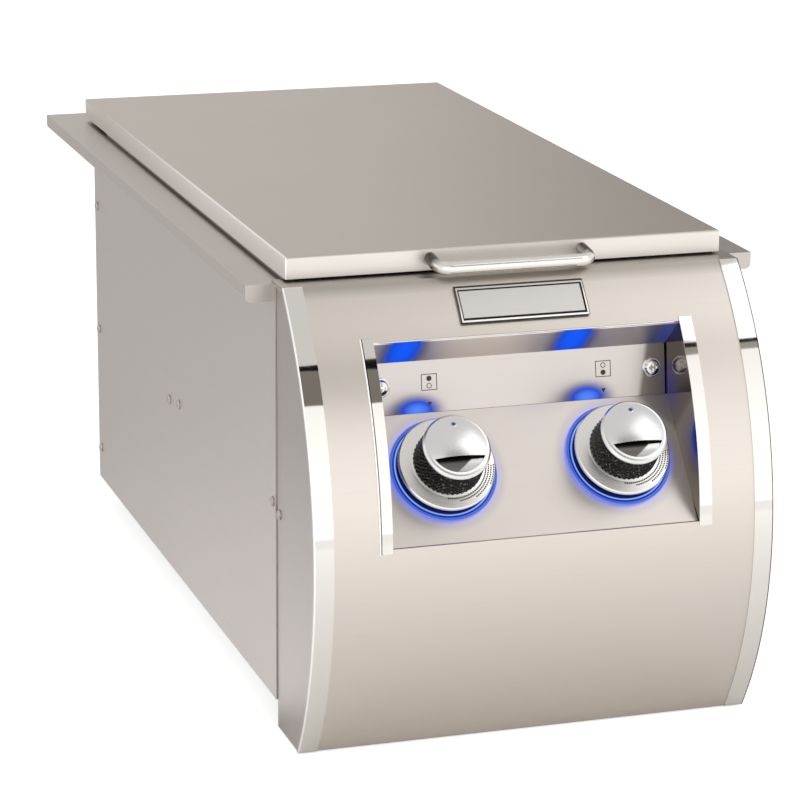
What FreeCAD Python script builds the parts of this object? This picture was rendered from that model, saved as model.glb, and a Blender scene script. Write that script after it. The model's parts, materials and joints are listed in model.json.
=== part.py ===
import FreeCAD, Part
import math
import os
from types import SimpleNamespace

import Sketcher
from FreeCAD import Placement, Rotation, Vector

# Built in side burner
# A drop in gas burner for an outdoor counter: two burners in a row under a flat hinged lid, and a
# barrel curved front that carries the knobs. +X is right, -Y is the front, +Z is up. The origin is
# under the middle of the whole object, level with the lower edge of the front. Millimetres.

DRIVING_SIZES = {
    # lid
    "lid_half_width": 144.6,
    "lid_front": -257.2,
    "lid_rear": 316.8,
    "lid_top": 307.0,
    "lid_skirt": 14.0,
    "lid_gauge": 1.2,
    # lid handle
    "handle_half_span": 50.5,
    "handle_reach": 19.0,
    "handle_radius": 4.0,
    "handle_base_height": 300.5,
    "handle_bar_height": 298.0,
    # lid hinge
    "hinge_y": 310.8,
    "hinge_height": 300.0,
    "hinge_rod_radius": 2.0,
    "hinge_clearance": 0.06,
    "hinge_wall": 2.34,
    # top frame
    "flange_half_width": 169.0,
    "flange_front": -253.2,
    "flange_rear": 348.8,
    "flange_top": 290.0,
    "flange_lip": 11.0,
    "flange_hem": 8.0,
    "flange_corner": 3.5,
    "strip_half_width": 150.9,
    "strip_front": -270.8,
    # cabinet
    "sheet_gauge": 1.2,
    "cabinet_half_width": 150.9,
    "cabinet_front": -256.2,
    "cabinet_rear": 259.8,
    "cabinet_bottom": 18.0,
    "shield_y": -235.2,
    # barrel curved front
    "front_radius": 229.7,
    "front_axis_y": -112.7,
    "front_axis_z": 126.0,
    "front_gauge": 1.5,
    "front_bottom_return": 22.0,
    "top_return_rear": -248.8,
    "cheek_inset": 1.0,
    "cheek_gap": 0.5,
    "band_inner_half": 138.2,
    "band_gauge": 0.8,
    # control recess
    "recess_half_width": 100.8,
    "recess_top": 260.0,
    "ceiling_back_y": -277.7,
    "ceiling_back_z": 240.7,
    "crease_y": -282.2,
    "crease_z": 208.0,
    "panel_tilt": 49.4,
    "panel_length": 88.6,
    "trim_width": 8.4,
    "trim_gauge": 0.7,
    "trim_overrun": 2.6,
    # knobs and valves, measured along and across the knob axis
    "knob_half_spacing": 58.0,
    "knob_down_panel": 40.0,
    "skirt_radius": 31.0,
    "grip_base_radius": 22.3,
    "cap_radius": 21.4,
    "cap_height": 33.0,
    "stem_radius": 4.0,
    "ring_outer_radius": 34.5,
    "ring_inner_radius": 27.5,
    "ring_height": 3.0,
    "valve_half_width": 12.0,
    "valve_bottom": -51.3,
    "manifold_depth": 62.0,
    "manifold_radius": 10.65,
    # name plate
    "plate_half_width": 42.3,
    "plate_low": 267.4,
    "plate_high": 286.4,
    # burners
    "tray_half_width": 135.0,
    "tray_front": -239.2,
    "tray_rear": 248.8,
    "tray_bottom": 250.0,
    "front_burner_y": -116.2,
    "rear_burner_y": 125.8,
    "throat_radius": 22.0,
    "burner_radius": 36.0,
    "cap_seat": 268.0,
    "gas_tube_radius": 4.0,
    "gas_tube_height": 226.0,
    # grates
    "grate_half": 116.0,
    "grate_top": 293.0,
    "grate_bar_height": 12.0,
    "grate_bar_width": 8.0,
}


class Size:
    """A number together with the spreadsheet expression that gives it."""

    def __init__(self, number, text):
        self.number = float(number)
        self.text = text

    def __add__(self, other):
        other = as_size(other)
        return Size(self.number + other.number, f"({self.text} + {other.text})")

    def __sub__(self, other):
        other = as_size(other)
        return Size(self.number - other.number, f"({self.text} - {other.text})")

    def __mul__(self, other):
        other = as_size(other)
        return Size(self.number * other.number, f"({self.text} * {other.text})")

    def __truediv__(self, other):
        other = as_size(other)
        return Size(self.number / other.number, f"({self.text} / {other.text})")

    def __neg__(self):
        return Size(-self.number, f"(0 - {self.text})")

    def __radd__(self, other):
        return as_size(other) + self

    def __rsub__(self, other):
        return as_size(other) - self

    def __rmul__(self, other):
        return as_size(other) * self


def as_size(value):
    if isinstance(value, Size):
        return value
    return Size(value, repr(float(value)))


def sine(angle):
    return Size(math.sin(math.radians(angle.number)), f"sin({angle.text} * 1 deg)")


def cosine(angle):
    return Size(math.cos(math.radians(angle.number)), f"cos({angle.text} * 1 deg)")


def root(value):
    return Size(math.sqrt(value.number), f"sqrt({value.text})")


doc = FreeCAD.newDocument("SideBurner")


def make_sheet():
    """Write the driving sizes to the spreadsheet and hand them back by name."""
    sheet = doc.addObject("Spreadsheet::Sheet", "Sizes")
    sizes = {}
    for row, (alias, number) in enumerate(DRIVING_SIZES.items(), start=1):
        sheet.set(f"A{row}", alias.replace("_", " "))
        sheet.set(f"B{row}", str(number))
        sheet.setAlias(f"B{row}", alias)
        sizes[alias] = Size(number, f"Sizes.{alias}")
    doc.recompute()
    return SimpleNamespace(**sizes)


s = make_sheet()

# Sizes that follow from the driving ones

lid_under = s.lid_top - s.lid_gauge
skirt_bottom = s.lid_top - s.lid_skirt
flange_bottom = s.flange_top - s.flange_lip
plate_under = s.flange_top - s.sheet_gauge
inner_half = s.cabinet_half_width - s.sheet_gauge
cheek_outer = s.cabinet_half_width - s.cheek_inset
cheek_inner = cheek_outer - s.front_gauge
front_top = s.flange_top + s.front_gauge
front_inner_radius = s.front_radius - s.front_gauge
panel_cos = cosine(s.panel_tilt)
panel_sin = sine(s.panel_tilt)
panel_low_y = s.crease_y - s.panel_length * panel_cos
panel_low_z = s.crease_z - s.panel_length * panel_sin
knob_y = s.crease_y - s.knob_down_panel * panel_cos
knob_z = s.crease_z - s.knob_down_panel * panel_sin
manifold_y = knob_y + s.manifold_depth * panel_sin
manifold_z = knob_z - s.manifold_depth * panel_cos
SIDES = {"left": -1.0, "right": 1.0}
BURNERS = {"rear": (-1.0, s.rear_burner_y), "front": (1.0, s.front_burner_y)}


def front_y(radius, z):
    """Y of the barrel curve of the given radius at height z."""
    rise = z - s.front_axis_z
    return s.front_axis_y - root(radius * radius - rise * rise)


# Helpers for primitives


def bind(obj, prop, size):
    obj.setExpression(prop, as_size(size).text)


def place(obj, base, rotation=None):
    """Set an object's Placement and tie its base point to the spreadsheet."""
    base = [as_size(value) for value in base]
    turn = rotation or Rotation()
    obj.Placement = Placement(Vector(*[value.number for value in base]), turn)
    for axis, value in zip("xyz", base):
        bind(obj, f"Placement.Base.{axis}", value)


def box(x_range, y_range, z_range):
    """Part::Box between two corners given as ranges."""
    obj = doc.addObject("Part::Box", "Block")
    for prop, (low, high) in zip(("Length", "Width", "Height"), (x_range, y_range, z_range)):
        extent = as_size(high) - low
        setattr(obj, prop, extent.number)
        bind(obj, prop, extent)
    place(obj, (x_range[0], y_range[0], z_range[0]))
    return obj


DIRECTIONS = {
    "X": Rotation(Vector(0, 1, 0), 90),
    "Y": Rotation(Vector(1, 0, 0), -90),
    "Z": Rotation(),
    "-X": Rotation(Vector(0, 1, 0), -90),
    "-Y": Rotation(Vector(1, 0, 0), 90),
    "-Z": Rotation(Vector(1, 0, 0), 180),
}


def cylinder(radius, length, base, direction="Z"):
    obj = doc.addObject("Part::Cylinder", "Round")
    obj.Radius = as_size(radius).number
    obj.Height = as_size(length).number
    bind(obj, "Radius", radius)
    bind(obj, "Height", length)
    place(obj, base, DIRECTIONS[direction])
    return obj


def fuse(label, pieces):
    obj = doc.addObject("Part::MultiFuse", "Fused")
    obj.Shapes = pieces
    obj.Refine = True
    obj.Label = label
    return obj


def cut(label, base, tools):
    tool = tools[0]
    if len(tools) > 1:
        tool = fuse("Tool", tools)
        tool.Refine = False
    obj = doc.addObject("Part::Cut", "Trimmed")
    obj.Base = base
    obj.Tool = tool
    obj.Label = label
    return obj


def common(label, base, tool):
    obj = doc.addObject("Part::Common", "Shared")
    obj.Base = base
    obj.Tool = tool
    obj.Label = label
    return obj


def compound(label, pieces):
    """Several separate solids that share one node."""
    obj = doc.addObject("Part::Compound", "Group")
    obj.Links = pieces
    obj.Label = label
    return obj


def feature(label, shape, placement=None):
    """A Part::Feature whose shape is made in code, for forms that no primitive fits."""
    obj = doc.addObject("Part::Feature", "Formed")
    obj.Shape = shape
    if placement is not None:
        obj.Placement = placement
    obj.Label = label
    return obj


# Helpers for bodies made from sketches

PLANES = {"XY": "XY_Plane", "XZ": "XZ_Plane", "YZ": "YZ_Plane"}


class Arc:
    """An outline edge that is a circular arc instead of a straight line."""

    def __init__(self, centre, radius, turn):
        self.centre = [as_size(value) for value in centre]
        self.radius = as_size(radius)
        self.turn = turn


def new_body(label):
    body = doc.addObject("PartDesign::Body", "Body")
    body.Label = label
    return body


def new_sketch(body, plane, offset=0.0):
    """A sketch on one of the body's own origin planes, moved along its normal."""
    sketch = body.newObject("Sketcher::SketchObject", "Sketch")
    for item in body.Origin.OriginFeatures:
        if item.Role == PLANES[plane]:
            sketch.AttachmentSupport = [(item, "")]
    sketch.MapMode = "FlatFace"
    offset = as_size(offset)
    sketch.AttachmentOffset = Placement(Vector(0, 0, offset.number), Rotation())
    bind(sketch, "AttachmentOffset.Base.z", offset)
    return sketch


def constrain(sketch, *arguments):
    """Add a dimension whose last argument is a Size and tie it to the spreadsheet."""
    size = as_size(arguments[-1])
    index = sketch.addConstraint(Sketcher.Constraint(*arguments[:-1], size.number))
    sketch.setExpression(f"Constraints[{index}]", size.text)


def point(pair):
    return Vector(pair[0].number, pair[1].number, 0)


def draw_arc(sketch, start, end, arc):
    """Add an arc edge and return its geometry number with its first and last point numbers."""
    middle = point(arc.centre)
    first, last = (start, end) if arc.turn == "left" else (end, start)
    angles = [math.atan2(spot.y - middle.y, spot.x - middle.x) for spot in (first, last)]
    if angles[1] < angles[0]:
        angles[1] += 2 * math.pi
    circle = Part.Circle(middle, Vector(0, 0, 1), arc.radius.number)
    number = sketch.addGeometry(Part.ArcOfCircle(circle, *angles), False)
    flat = abs(end.x - start.x) > abs(end.y - start.y)
    if flat:
        constrain(sketch, "DistanceY", -1, 1, number, 3, arc.centre[1])
    else:
        constrain(sketch, "DistanceX", -1, 1, number, 3, arc.centre[0])
    return (number, 1, 2) if arc.turn == "left" else (number, 2, 1)


def outline(sketch, corners):
    """A closed outline. Corners are pairs of sizes, and an Arc between two corners bends an edge."""
    spots = [tuple(as_size(value) for value in item) for item in corners if not isinstance(item, Arc)]
    arcs = []
    for item in corners:
        if isinstance(item, Arc):
            arcs[-1] = item
        else:
            arcs.append(None)
    edges = []
    for index, spot in enumerate(spots):
        start = point(spot)
        end = point(spots[(index + 1) % len(spots)])
        if arcs[index] is None:
            number = sketch.addGeometry(Part.LineSegment(start, end), False)
            edges.append((number, 1, 2))
        else:
            edges.append(draw_arc(sketch, start, end, arcs[index]))
    for index, (number, first, last) in enumerate(edges):
        following, its_first, _ = edges[(index + 1) % len(edges)]
        sketch.addConstraint(Sketcher.Constraint("Coincident", number, last, following, its_first))
        constrain(sketch, "DistanceX", -1, 1, number, first, spots[index][0])
        constrain(sketch, "DistanceY", -1, 1, number, first, spots[index][1])


def circle_in(sketch, centre, radius):
    centre = [as_size(value) for value in centre]
    radius = as_size(radius)
    number = sketch.addGeometry(Part.Circle(point(centre), Vector(0, 0, 1), radius.number), False)
    constrain(sketch, "Radius", number, radius)
    constrain(sketch, "DistanceX", -1, 1, number, 3, centre[0])
    constrain(sketch, "DistanceY", -1, 1, number, 3, centre[1])


def rectangle(low, high):
    return [(low[0], low[1]), (high[0], low[1]), (high[0], high[1]), (low[0], high[1])]


def pad(body, sketch, length, reverse=False):
    obj = body.newObject("PartDesign::Pad", "Pad")
    obj.Profile = sketch
    obj.Length = as_size(length).number
    bind(obj, "Length", length)
    obj.Reversed = reverse
    body.Tip = obj
    return obj


def pocket(body, sketch, length, reverse=False):
    obj = body.newObject("PartDesign::Pocket", "Pocket")
    obj.Profile = sketch
    obj.Length = as_size(length).number
    bind(obj, "Length", length)
    obj.Reversed = reverse
    body.Tip = obj
    return obj


def polar(body, feature_to_repeat, sketch, count):
    """Repeat a feature round the body's Z axis."""
    obj = body.newObject("PartDesign::PolarPattern", "Polar")
    obj.Originals = [feature_to_repeat]
    obj.Axis = (sketch, ["N_Axis"])
    obj.Angle = 360
    obj.Occurrences = count
    body.Tip = obj
    return obj


def revolve(label, corners, placement_base=(0, 0, 0), rotation=None):
    """A body turned round its own Z axis from an outline of radius and height."""
    body = new_body(label)
    sketch = new_sketch(body, "XZ")
    outline(sketch, corners)
    turned = body.newObject("PartDesign::Revolution", "Turned")
    turned.Profile = sketch
    turned.ReferenceAxis = (sketch, ["V_Axis"])
    turned.Angle = 360
    body.Tip = turned
    place(body, placement_base, rotation)
    return body


def prism(label, plane, corners, low, high, holes=()):
    """A body extruded between two values of the axis that the plane leaves out."""
    body = new_body(label)
    low = as_size(low)
    high = as_size(high)
    offset = -high if plane == "XZ" else low
    sketch = new_sketch(body, plane, offset)
    outline(sketch, corners)
    for hole in holes:
        outline(sketch, hole)
    pad(body, sketch, high - low)
    return body


def edges_where(shape, test):
    """Names of the edges whose two ends and middle all pass the test."""
    names = []
    for index, edge in enumerate(shape.Edges, start=1):
        spots = [vertex.Point for vertex in edge.Vertexes]
        spots.append(edge.valueAt((edge.FirstParameter + edge.LastParameter) / 2))
        if all(test(spot) for spot in spots):
            names.append(f"Edge{index}")
    return names


def fillet_body(body, radius, test):
    """Round the edges of a body that pass the test."""
    doc.recompute()
    names = edges_where(body.Shape, test)
    if not names:
        raise ValueError(f"no edge to round on {body.Label}")
    base = body.Tip
    obj = body.newObject("PartDesign::Fillet", "Fillet")
    obj.Base = (base, names)
    obj.Radius = radius
    body.Tip = obj
    return obj


def bent_tube(label, points, bend_radius, radius, bore=0.0):
    """A rod or tube of straight runs joined by tangent bends."""
    here = points[0]
    heading = (points[1] - points[0]).normalize()
    rings = [Part.Wire([Part.Circle(here, heading, width).toShape()]) for width in (radius, bore) if width]
    section = Part.makeFace(rings, "Part::FaceMakerBullseye")
    runs = []
    length = 0.0
    for corner, after in zip(points[1:], points[2:]):
        out = (after - corner).normalize()
        turn = heading.getAngle(out)
        straight = corner - heading * (bend_radius * math.tan(turn / 2)) - here
        runs.append(section.extrude(straight))
        section.translate(straight)
        here = here + straight
        pivot = here + (out - heading * heading.dot(out)).normalize() * bend_radius
        axis = heading.cross(out)
        degrees = math.degrees(turn)
        runs.append(section.revolve(pivot, axis, degrees))
        section.rotate(pivot, axis, degrees)
        here = pivot + Rotation(axis, degrees).multVec(here - pivot)
        length += straight.Length + bend_radius * turn
        heading = out
    last = points[-1] - here
    runs.append(section.extrude(last))
    length += last.Length
    shape = runs[0].multiFuse(runs[1:]) if len(runs) > 1 else runs[0]
    print(f"{label}: length {length:.1f} mm, volume {shape.Volume:.1f} mm3, "
          f"section {math.pi * (radius ** 2 - bore ** 2):.2f} mm2")
    return feature(label, shape)


def pan_head(radius, height, shank_radius, shank_length, cross=False):
    """A pan head screw along +Z with its head resting on z = 0."""
    dome = radius * 0.35
    profile = [
        Vector(0, 0, -shank_length),
        Vector(shank_radius, 0, -shank_length),
        Vector(shank_radius, 0, 0),
        Vector(radius, 0, 0),
        Vector(radius, 0, height - dome),
        Vector(radius * 0.78, 0, height - dome * 0.3),
        Vector(radius * 0.45, 0, height),
        Vector(0, 0, height),
        Vector(0, 0, -shank_length),
    ]
    face = Part.Face(Part.makePolygon(profile))
    solid = face.revolve(Vector(0, 0, 0), Vector(0, 0, 1), 360)
    if not cross:
        return solid
    slot = Part.makeBox(radius * 1.1, radius * 0.26, height, Vector(-radius * 0.55, -radius * 0.13, height * 0.45))
    return solid.cut(slot.fuse(slot.rotated(Vector(0, 0, 0), Vector(0, 0, 1), 90)))


def screws(label, screw, spots):
    """Identical screws in one node: each spot is a point and the direction its head faces."""
    copies = []
    for spot, facing in spots:
        copy = screw.copy()
        copy.Placement = Placement(spot, Rotation(Vector(0, 0, 1), facing))
        copies.append(copy)
    return feature(label, Part.makeCompound(copies))


# Lid and hinge


def make_lid():
    """Flat sheet lid with a folded skirt, open underneath."""
    body = new_body("lid")
    outside = new_sketch(body, "XY", skirt_bottom)
    outline(outside, rectangle((-s.lid_half_width, s.lid_front), (s.lid_half_width, s.lid_rear)))
    pad(body, outside, s.lid_skirt)
    inside = new_sketch(body, "XY", skirt_bottom)
    low = (s.lid_gauge - s.lid_half_width, s.lid_front + s.lid_gauge)
    high = (s.lid_half_width - s.lid_gauge, s.lid_rear - s.lid_gauge)
    outline(inside, rectangle(low, high))
    pocket(body, inside, s.lid_skirt - s.lid_gauge, reverse=True)
    holes = new_sketch(body, "XZ", -s.lid_front)
    for side in SIDES.values():
        circle_in(holes, (s.handle_half_span * side, s.handle_base_height), 2.1)
    pocket(body, holes, s.lid_gauge)
    top = s.lid_top.number
    fillet_body(body, 1.0, lambda spot: abs(spot.z - top) < 1e-4)
    return body


def make_handle():
    """Round rod bent at both ends, drilled for its two screws."""
    bar_y = s.lid_front - s.handle_reach
    points = [
        Vector(-s.handle_half_span.number, s.lid_front.number, s.handle_base_height.number),
        Vector(-s.handle_half_span.number, bar_y.number, s.handle_bar_height.number),
        Vector(s.handle_half_span.number, bar_y.number, s.handle_bar_height.number),
        Vector(s.handle_half_span.number, s.lid_front.number, s.handle_base_height.number),
    ]
    rod = bent_tube("handle_rod_blank", points, 8.0, s.handle_radius.number)
    square_end = box((-80, 80), (s.lid_front, s.lid_front + 5), (280, 320))
    drills = []
    for side in SIDES.values():
        base = (s.handle_half_span * side, s.lid_front + 1, s.handle_base_height)
        drills.append(cylinder(2.02, 8.0, base, "-Y"))
    return cut("lid_handle", rod, [square_end] + drills)


def make_handle_screws():
    inside = s.lid_front + s.lid_gauge
    spots = []
    for side in SIDES.values():
        spot = Vector(side * s.handle_half_span.number, inside.number, s.handle_base_height.number)
        spots.append((spot, Vector(0, 1, 0)))
    return screws("handle_screws", pan_head(3.8, 2.2, 2.0, 6.5), spots)


def make_hinge_leaves():
    """Two ears under the rear of the lid that carry the rod, each with a welded foot."""
    reach = s.hinge_rod_radius + s.hinge_clearance + s.hinge_wall
    leaves = []
    for side in SIDES.values():
        low, high = sorted((100.0 * side, 102.4 * side))
        ear = prism("leaf_ear", "YZ", [
            (s.hinge_y - reach, lid_under),
            (s.hinge_y - reach, s.hinge_height),
            Arc((s.hinge_y, s.hinge_height), reach, "left"),
            (s.hinge_y + reach, s.hinge_height),
            (s.hinge_y + reach, lid_under),
        ], low, high)
        foot_low, foot_high = sorted((102.4 * side, 88.0 * side))
        foot = box((foot_low, foot_high), (s.hinge_y - 24, s.hinge_y + reach), (lid_under - 1.2, lid_under))
        blank = fuse("leaf_blank", [ear, foot])
        radius = s.hinge_rod_radius + s.hinge_clearance
        bore = cylinder(radius, 20, (95.0 if side > 0 else -115.0, s.hinge_y, s.hinge_height), "X")
        leaves.append(cut("leaf", blank, [bore]))
    return compound("lid_hinge_leaves", leaves)


def make_hinge_rod():
    rod = cylinder(s.hinge_rod_radius, 236, (-118, s.hinge_y, s.hinge_height), "X")
    rod.Label = "lid_hinge_rod"
    return rod


def make_hinge_brackets():
    """Two arms on the frame that hold the ends of the rod."""
    bore = s.hinge_rod_radius + s.hinge_clearance
    reach = bore + s.hinge_wall
    low_z = s.hinge_height - reach
    top_z = s.hinge_height + reach
    arms = []
    for side in SIDES.values():
        low, high = sorted((106.0 * side, 108.4 * side))
        arm = prism("bracket_arm", "YZ", [
            (s.hinge_y - 28, s.flange_top),
            (s.hinge_y - 21, s.flange_top),
            (s.hinge_y - 17, low_z + 1.4),
            (s.hinge_y, low_z),
            Arc((s.hinge_y, s.hinge_height), reach, "left"),
            (s.hinge_y, top_z),
            (s.hinge_y - 24, top_z),
        ], low, high)
        foot_low, foot_high = sorted((108.4 * side, 122.0 * side))
        foot = box((foot_low, foot_high), (s.hinge_y - 28, s.hinge_y - 17), (s.flange_top, s.flange_top + 1.2))
        blank = fuse("bracket_blank", [arm, foot])
        start = 104.0 if side > 0 else -110.0
        arms.append(cut("bracket", blank, [cylinder(bore, 6, (start, s.hinge_y, s.hinge_height), "X")]))
    return compound("lid_hinge_brackets", arms)


def make_bumpers():
    """Rubber studs at the corners of the frame that the closed lid rests over."""
    pads = []
    for x in (-139.0, 139.0):
        for y, seat in ((s.lid_front + 5.2, front_top), (s.lid_rear - 34, s.flange_top)):
            stem = cylinder(2.8, lid_under - seat - 0.4, (x, y, seat), "Z")
            pads.append(stem)
    return compound("lid_bumpers", pads)


# Top frame


def make_lip(x_range, y_range, inner_x, inner_y, open_x, open_y):
    """A turned down lip with a rounded lower edge and an inward hem."""
    z_range = (flange_bottom, plate_under)
    outer = box(x_range, y_range, z_range)
    inside = box(inner_x, inner_y, (flange_bottom + s.sheet_gauge, plate_under + 1))
    mouth = box(open_x, open_y, (flange_bottom - 1, flange_bottom + s.sheet_gauge + 1))
    return cut("lip", outer, [inside, mouth])


def make_top_frame():
    """Counter flange round the opening, with side and rear lips and a strip under the front's return."""
    gauge = s.sheet_gauge
    body = new_body("frame_plate")
    sketch = new_sketch(body, "XY", plate_under)
    outline(sketch, [
        (-s.strip_half_width, s.strip_front),
        (s.strip_half_width, s.strip_front),
        (s.strip_half_width, s.flange_front),
        (s.flange_half_width, s.flange_front),
        (s.flange_half_width, s.flange_rear),
        (-s.flange_half_width, s.flange_rear),
        (-s.flange_half_width, s.flange_front),
        (-s.strip_half_width, s.flange_front),
    ])
    low = (-s.tray_half_width - 0.4, s.tray_front - 0.4)
    high = (s.tray_half_width + 0.4, s.tray_rear + 0.4)
    outline(sketch, rectangle(low, high))
    pad(body, sketch, gauge)

    outer = box((-s.flange_half_width, s.flange_half_width), (s.flange_front, s.flange_rear),
                (flange_bottom, plate_under))
    doc.recompute()
    rounded = doc.addObject("Part::Fillet", "RoundedLip")
    rounded.Base = outer
    low_z = flange_bottom.number
    front = s.flange_front.number
    edges = edges_where(outer.Shape, lambda spot: abs(spot.z - low_z) < 1e-4 and spot.y > front + 1e-4
                        or abs(spot.z - low_z) < 1e-4 and abs(spot.x) > s.flange_half_width.number - 1e-4)
    radius = s.flange_corner.number
    rounded.Edges = [(int(name[4:]), radius, radius) for name in edges]

    inner = s.flange_half_width - gauge
    hem = s.flange_half_width - s.flange_hem
    hollow = box((-inner, inner), (s.flange_front + gauge, s.flange_rear - gauge),
                 (flange_bottom + gauge, plate_under + 1))
    mouth = box((-hem, hem), (s.flange_front + gauge, s.flange_rear - s.flange_hem),
                (flange_bottom - 1, flange_bottom + gauge + 1))
    front_gap = box((-s.cabinet_half_width, s.cabinet_half_width), (s.flange_front - 1, s.flange_front + gauge + 1),
                    (flange_bottom - 1, plate_under + 1))
    lips = cut("frame_lips", rounded, [hollow, mouth, front_gap])
    return fuse("top_frame", [body, lips])


# Cabinet


def make_side_panel(name, side):
    x_low = -s.cabinet_half_width if side < 0 else inner_half
    x_high = -inner_half if side < 0 else s.cabinet_half_width
    sheet = box((x_low, x_high), (s.cabinet_front, s.cabinet_rear), (s.cabinet_bottom, plate_under))
    holes = []
    for y, z in side_screw_spots():
        holes.append(cylinder(2.1, 6, (x_low - 2.0, y, z), "X"))
    return cut(f"{name}_side_panel", sheet, holes)


def side_screw_spots():
    """Screws of a side panel: three into the back panel, two mid panel and one beside the front."""
    return [
        (s.cabinet_rear - 8.5, 235.7),
        (s.cabinet_rear - 8.5, 138.8),
        (s.cabinet_rear - 8.5, 43.3),
        (23.5, 142.5),
        (-4.0, 146.0),
        (s.cabinet_front + 6.5, 148.5),
    ]


CHEEK_SCREW = (-262.5, 143.5)


def make_side_screws():
    spots = []
    for side in SIDES.values():
        for y, z in side_screw_spots():
            spot = Vector(side * s.cabinet_half_width.number, as_size(y).number, z)
            spots.append((spot, Vector(side, 0, 0)))
        spots.append((Vector(side * cheek_outer.number, *CHEEK_SCREW), Vector(side, 0, 0)))
    return screws("side_screws", pan_head(3.4, 1.9, 2.05, 5.0), spots)


def make_back_panel():
    """Back sheet with side flanges for its screws and two banks of louvre slots."""
    gauge = s.sheet_gauge
    sheet = box((-inner_half, inner_half), (s.cabinet_rear - gauge, s.cabinet_rear),
                (s.cabinet_bottom + gauge, plate_under))
    flanges = []
    for side in SIDES.values():
        x_low = -inner_half if side < 0 else inner_half - gauge
        flanges.append(box((x_low, x_low + gauge), (s.cabinet_rear - 15, s.cabinet_rear - gauge),
                           (s.cabinet_bottom + gauge, plate_under)))
    blank = fuse("back_blank", [sheet] + flanges)
    tools = []
    for bank in (-70.0, 70.0):
        for step in range(6):
            z = 60.0 + 14.0 * step
            tools.append(box((bank - 32, bank + 32), (s.cabinet_rear - 3, s.cabinet_rear + 1), (z, z + 5)))
    for side in SIDES.values():
        for y, z in side_screw_spots()[:3]:
            start = -s.cabinet_half_width if side < 0 else s.cabinet_half_width - 6
            tools.append(cylinder(2.1, 6, (start, y, z), "X"))
    return fuse("back_panel", [cut("back_sheet", blank, tools)] + make_louvre_hoods())


def make_louvre_hoods():
    """Pressed hoods that shade the louvre slots on the outside."""
    hoods = []
    for bank in (-70.0, 70.0):
        for step in range(6):
            z = 60.0 + 14.0 * step
            hoods.append(prism("hood", "YZ", [
                (s.cabinet_rear, z + 5.0),
                (s.cabinet_rear, z + 7.6),
                (s.cabinet_rear + 4.4, z + 1.4),
                (s.cabinet_rear + 4.4, z + 0.2),
                (s.cabinet_rear + 3.6, z + 0.2),
            ], bank - 33.5, bank + 33.5))
    return hoods


INLET_X = 124.0


def make_bottom_pan():
    """Bottom sheet with rows of air slots and a notch that lets the supply hose pass."""
    gauge = s.sheet_gauge
    pan = box((-inner_half, inner_half), (s.cabinet_front, s.cabinet_rear), (s.cabinet_bottom, s.cabinet_bottom + gauge))
    tools = []
    for row in range(7):
        y = -150.0 + 50.0 * row
        for x in (-70.0, 70.0):
            tools.append(box((x - 32, x + 32), (y - 4, y + 4), (s.cabinet_bottom - 1, s.cabinet_bottom + 3)))
    tools.append(box((INLET_X - 20, INLET_X + 20), (s.cabinet_front - 1, s.cabinet_front + 18),
                     (s.cabinet_bottom - 1, s.cabinet_bottom + 3)))
    return cut("bottom_pan", pan, tools)


def make_heat_shield():
    """Plate behind the valves whose turned forward edges tie the side panels to the front."""
    gauge = s.sheet_gauge
    z_range = (s.cabinet_bottom + 12.0, s.tray_bottom - 1.0)
    pieces = [box((-inner_half, inner_half), (s.shield_y, s.shield_y + gauge),
                  (s.cabinet_bottom + gauge, s.tray_bottom - 1.0))]
    tools = []
    for side in SIDES.values():
        x = s.knob_half_spacing * side
        tools.append(cylinder(9.5, 10, (x, s.shield_y - 4, tube_rise_height()), "Y"))
        panel_side = sorted_range(inner_half * side, (inner_half - 1.8) * side)
        cheek_side = sorted_range(cheek_inner * side, (cheek_inner - gauge) * side)
        pieces.append(box(panel_side, (s.cabinet_front + 0.4, s.shield_y + gauge), z_range))
        pieces.append(box(cheek_side, (s.cabinet_front - 12.0, s.cabinet_front + 4.0), z_range))
        start = -s.cabinet_half_width if side < 0 else s.cabinet_half_width - 6
        for y, z in (side_screw_spots()[-1], CHEEK_SCREW):
            tools.append(cylinder(2.1, 6, (start, y, z), "X"))
    return cut("heat_shield", fuse("shield_blank", pieces), tools)


def sorted_range(first, second):
    return (first, second) if first.number < second.number else (second, first)


def tube_rise_height():
    """Height at which a rising gas tube passes through the middle of the heat shield."""
    run = s.shield_y + 0.6 - outlet_y
    return outlet_z + run * panel_sin / panel_cos


# Valve outlet, on the valve's upper side
outlet_y = knob_y + 14.0 * panel_cos + 38.0 * panel_sin
outlet_z = knob_z + 14.0 * panel_sin - 38.0 * panel_cos


# Barrel curved front


def curve_band(label, outer_radius, gauge, z_low, z_high, x_low, x_high):
    """Sheet bent to the barrel curve between two heights."""
    inner_radius = outer_radius - gauge
    centre = (s.front_axis_y, s.front_axis_z)
    return prism(label, "YZ", [
        (front_y(outer_radius, z_high), z_high),
        Arc(centre, outer_radius, "left"),
        (front_y(outer_radius, z_low), z_low),
        (front_y(inner_radius, z_low), z_low),
        Arc(centre, inner_radius, "right"),
        (front_y(inner_radius, z_high), z_high),
    ], x_low, x_high)


def make_fascia():
    """Curved front sheet with the control opening, a bottom return and a top one laid on the frame."""
    half = s.cabinet_half_width
    curve = curve_band("fascia_curve", s.front_radius, s.front_gauge, as_size(0.0), front_top, -half, half)
    back = front_y(front_inner_radius, as_size(0.0))
    lip = box((-cheek_inner, cheek_inner), (back - 1.0, back + s.front_bottom_return), (0.0, s.front_gauge))
    edge = front_y(s.front_radius, front_top)
    ledge = box((-half, half), (edge + 0.1, s.top_return_rear), (s.flange_top, front_top))
    blank = fuse("fascia_blank", [curve, lip, ledge])
    half = s.recess_half_width + s.sheet_gauge
    opening = box((-half, half), (-350.0, -290.0), (panel_low_z, s.recess_top))
    return cut("fascia_front", blank, [opening])


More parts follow.
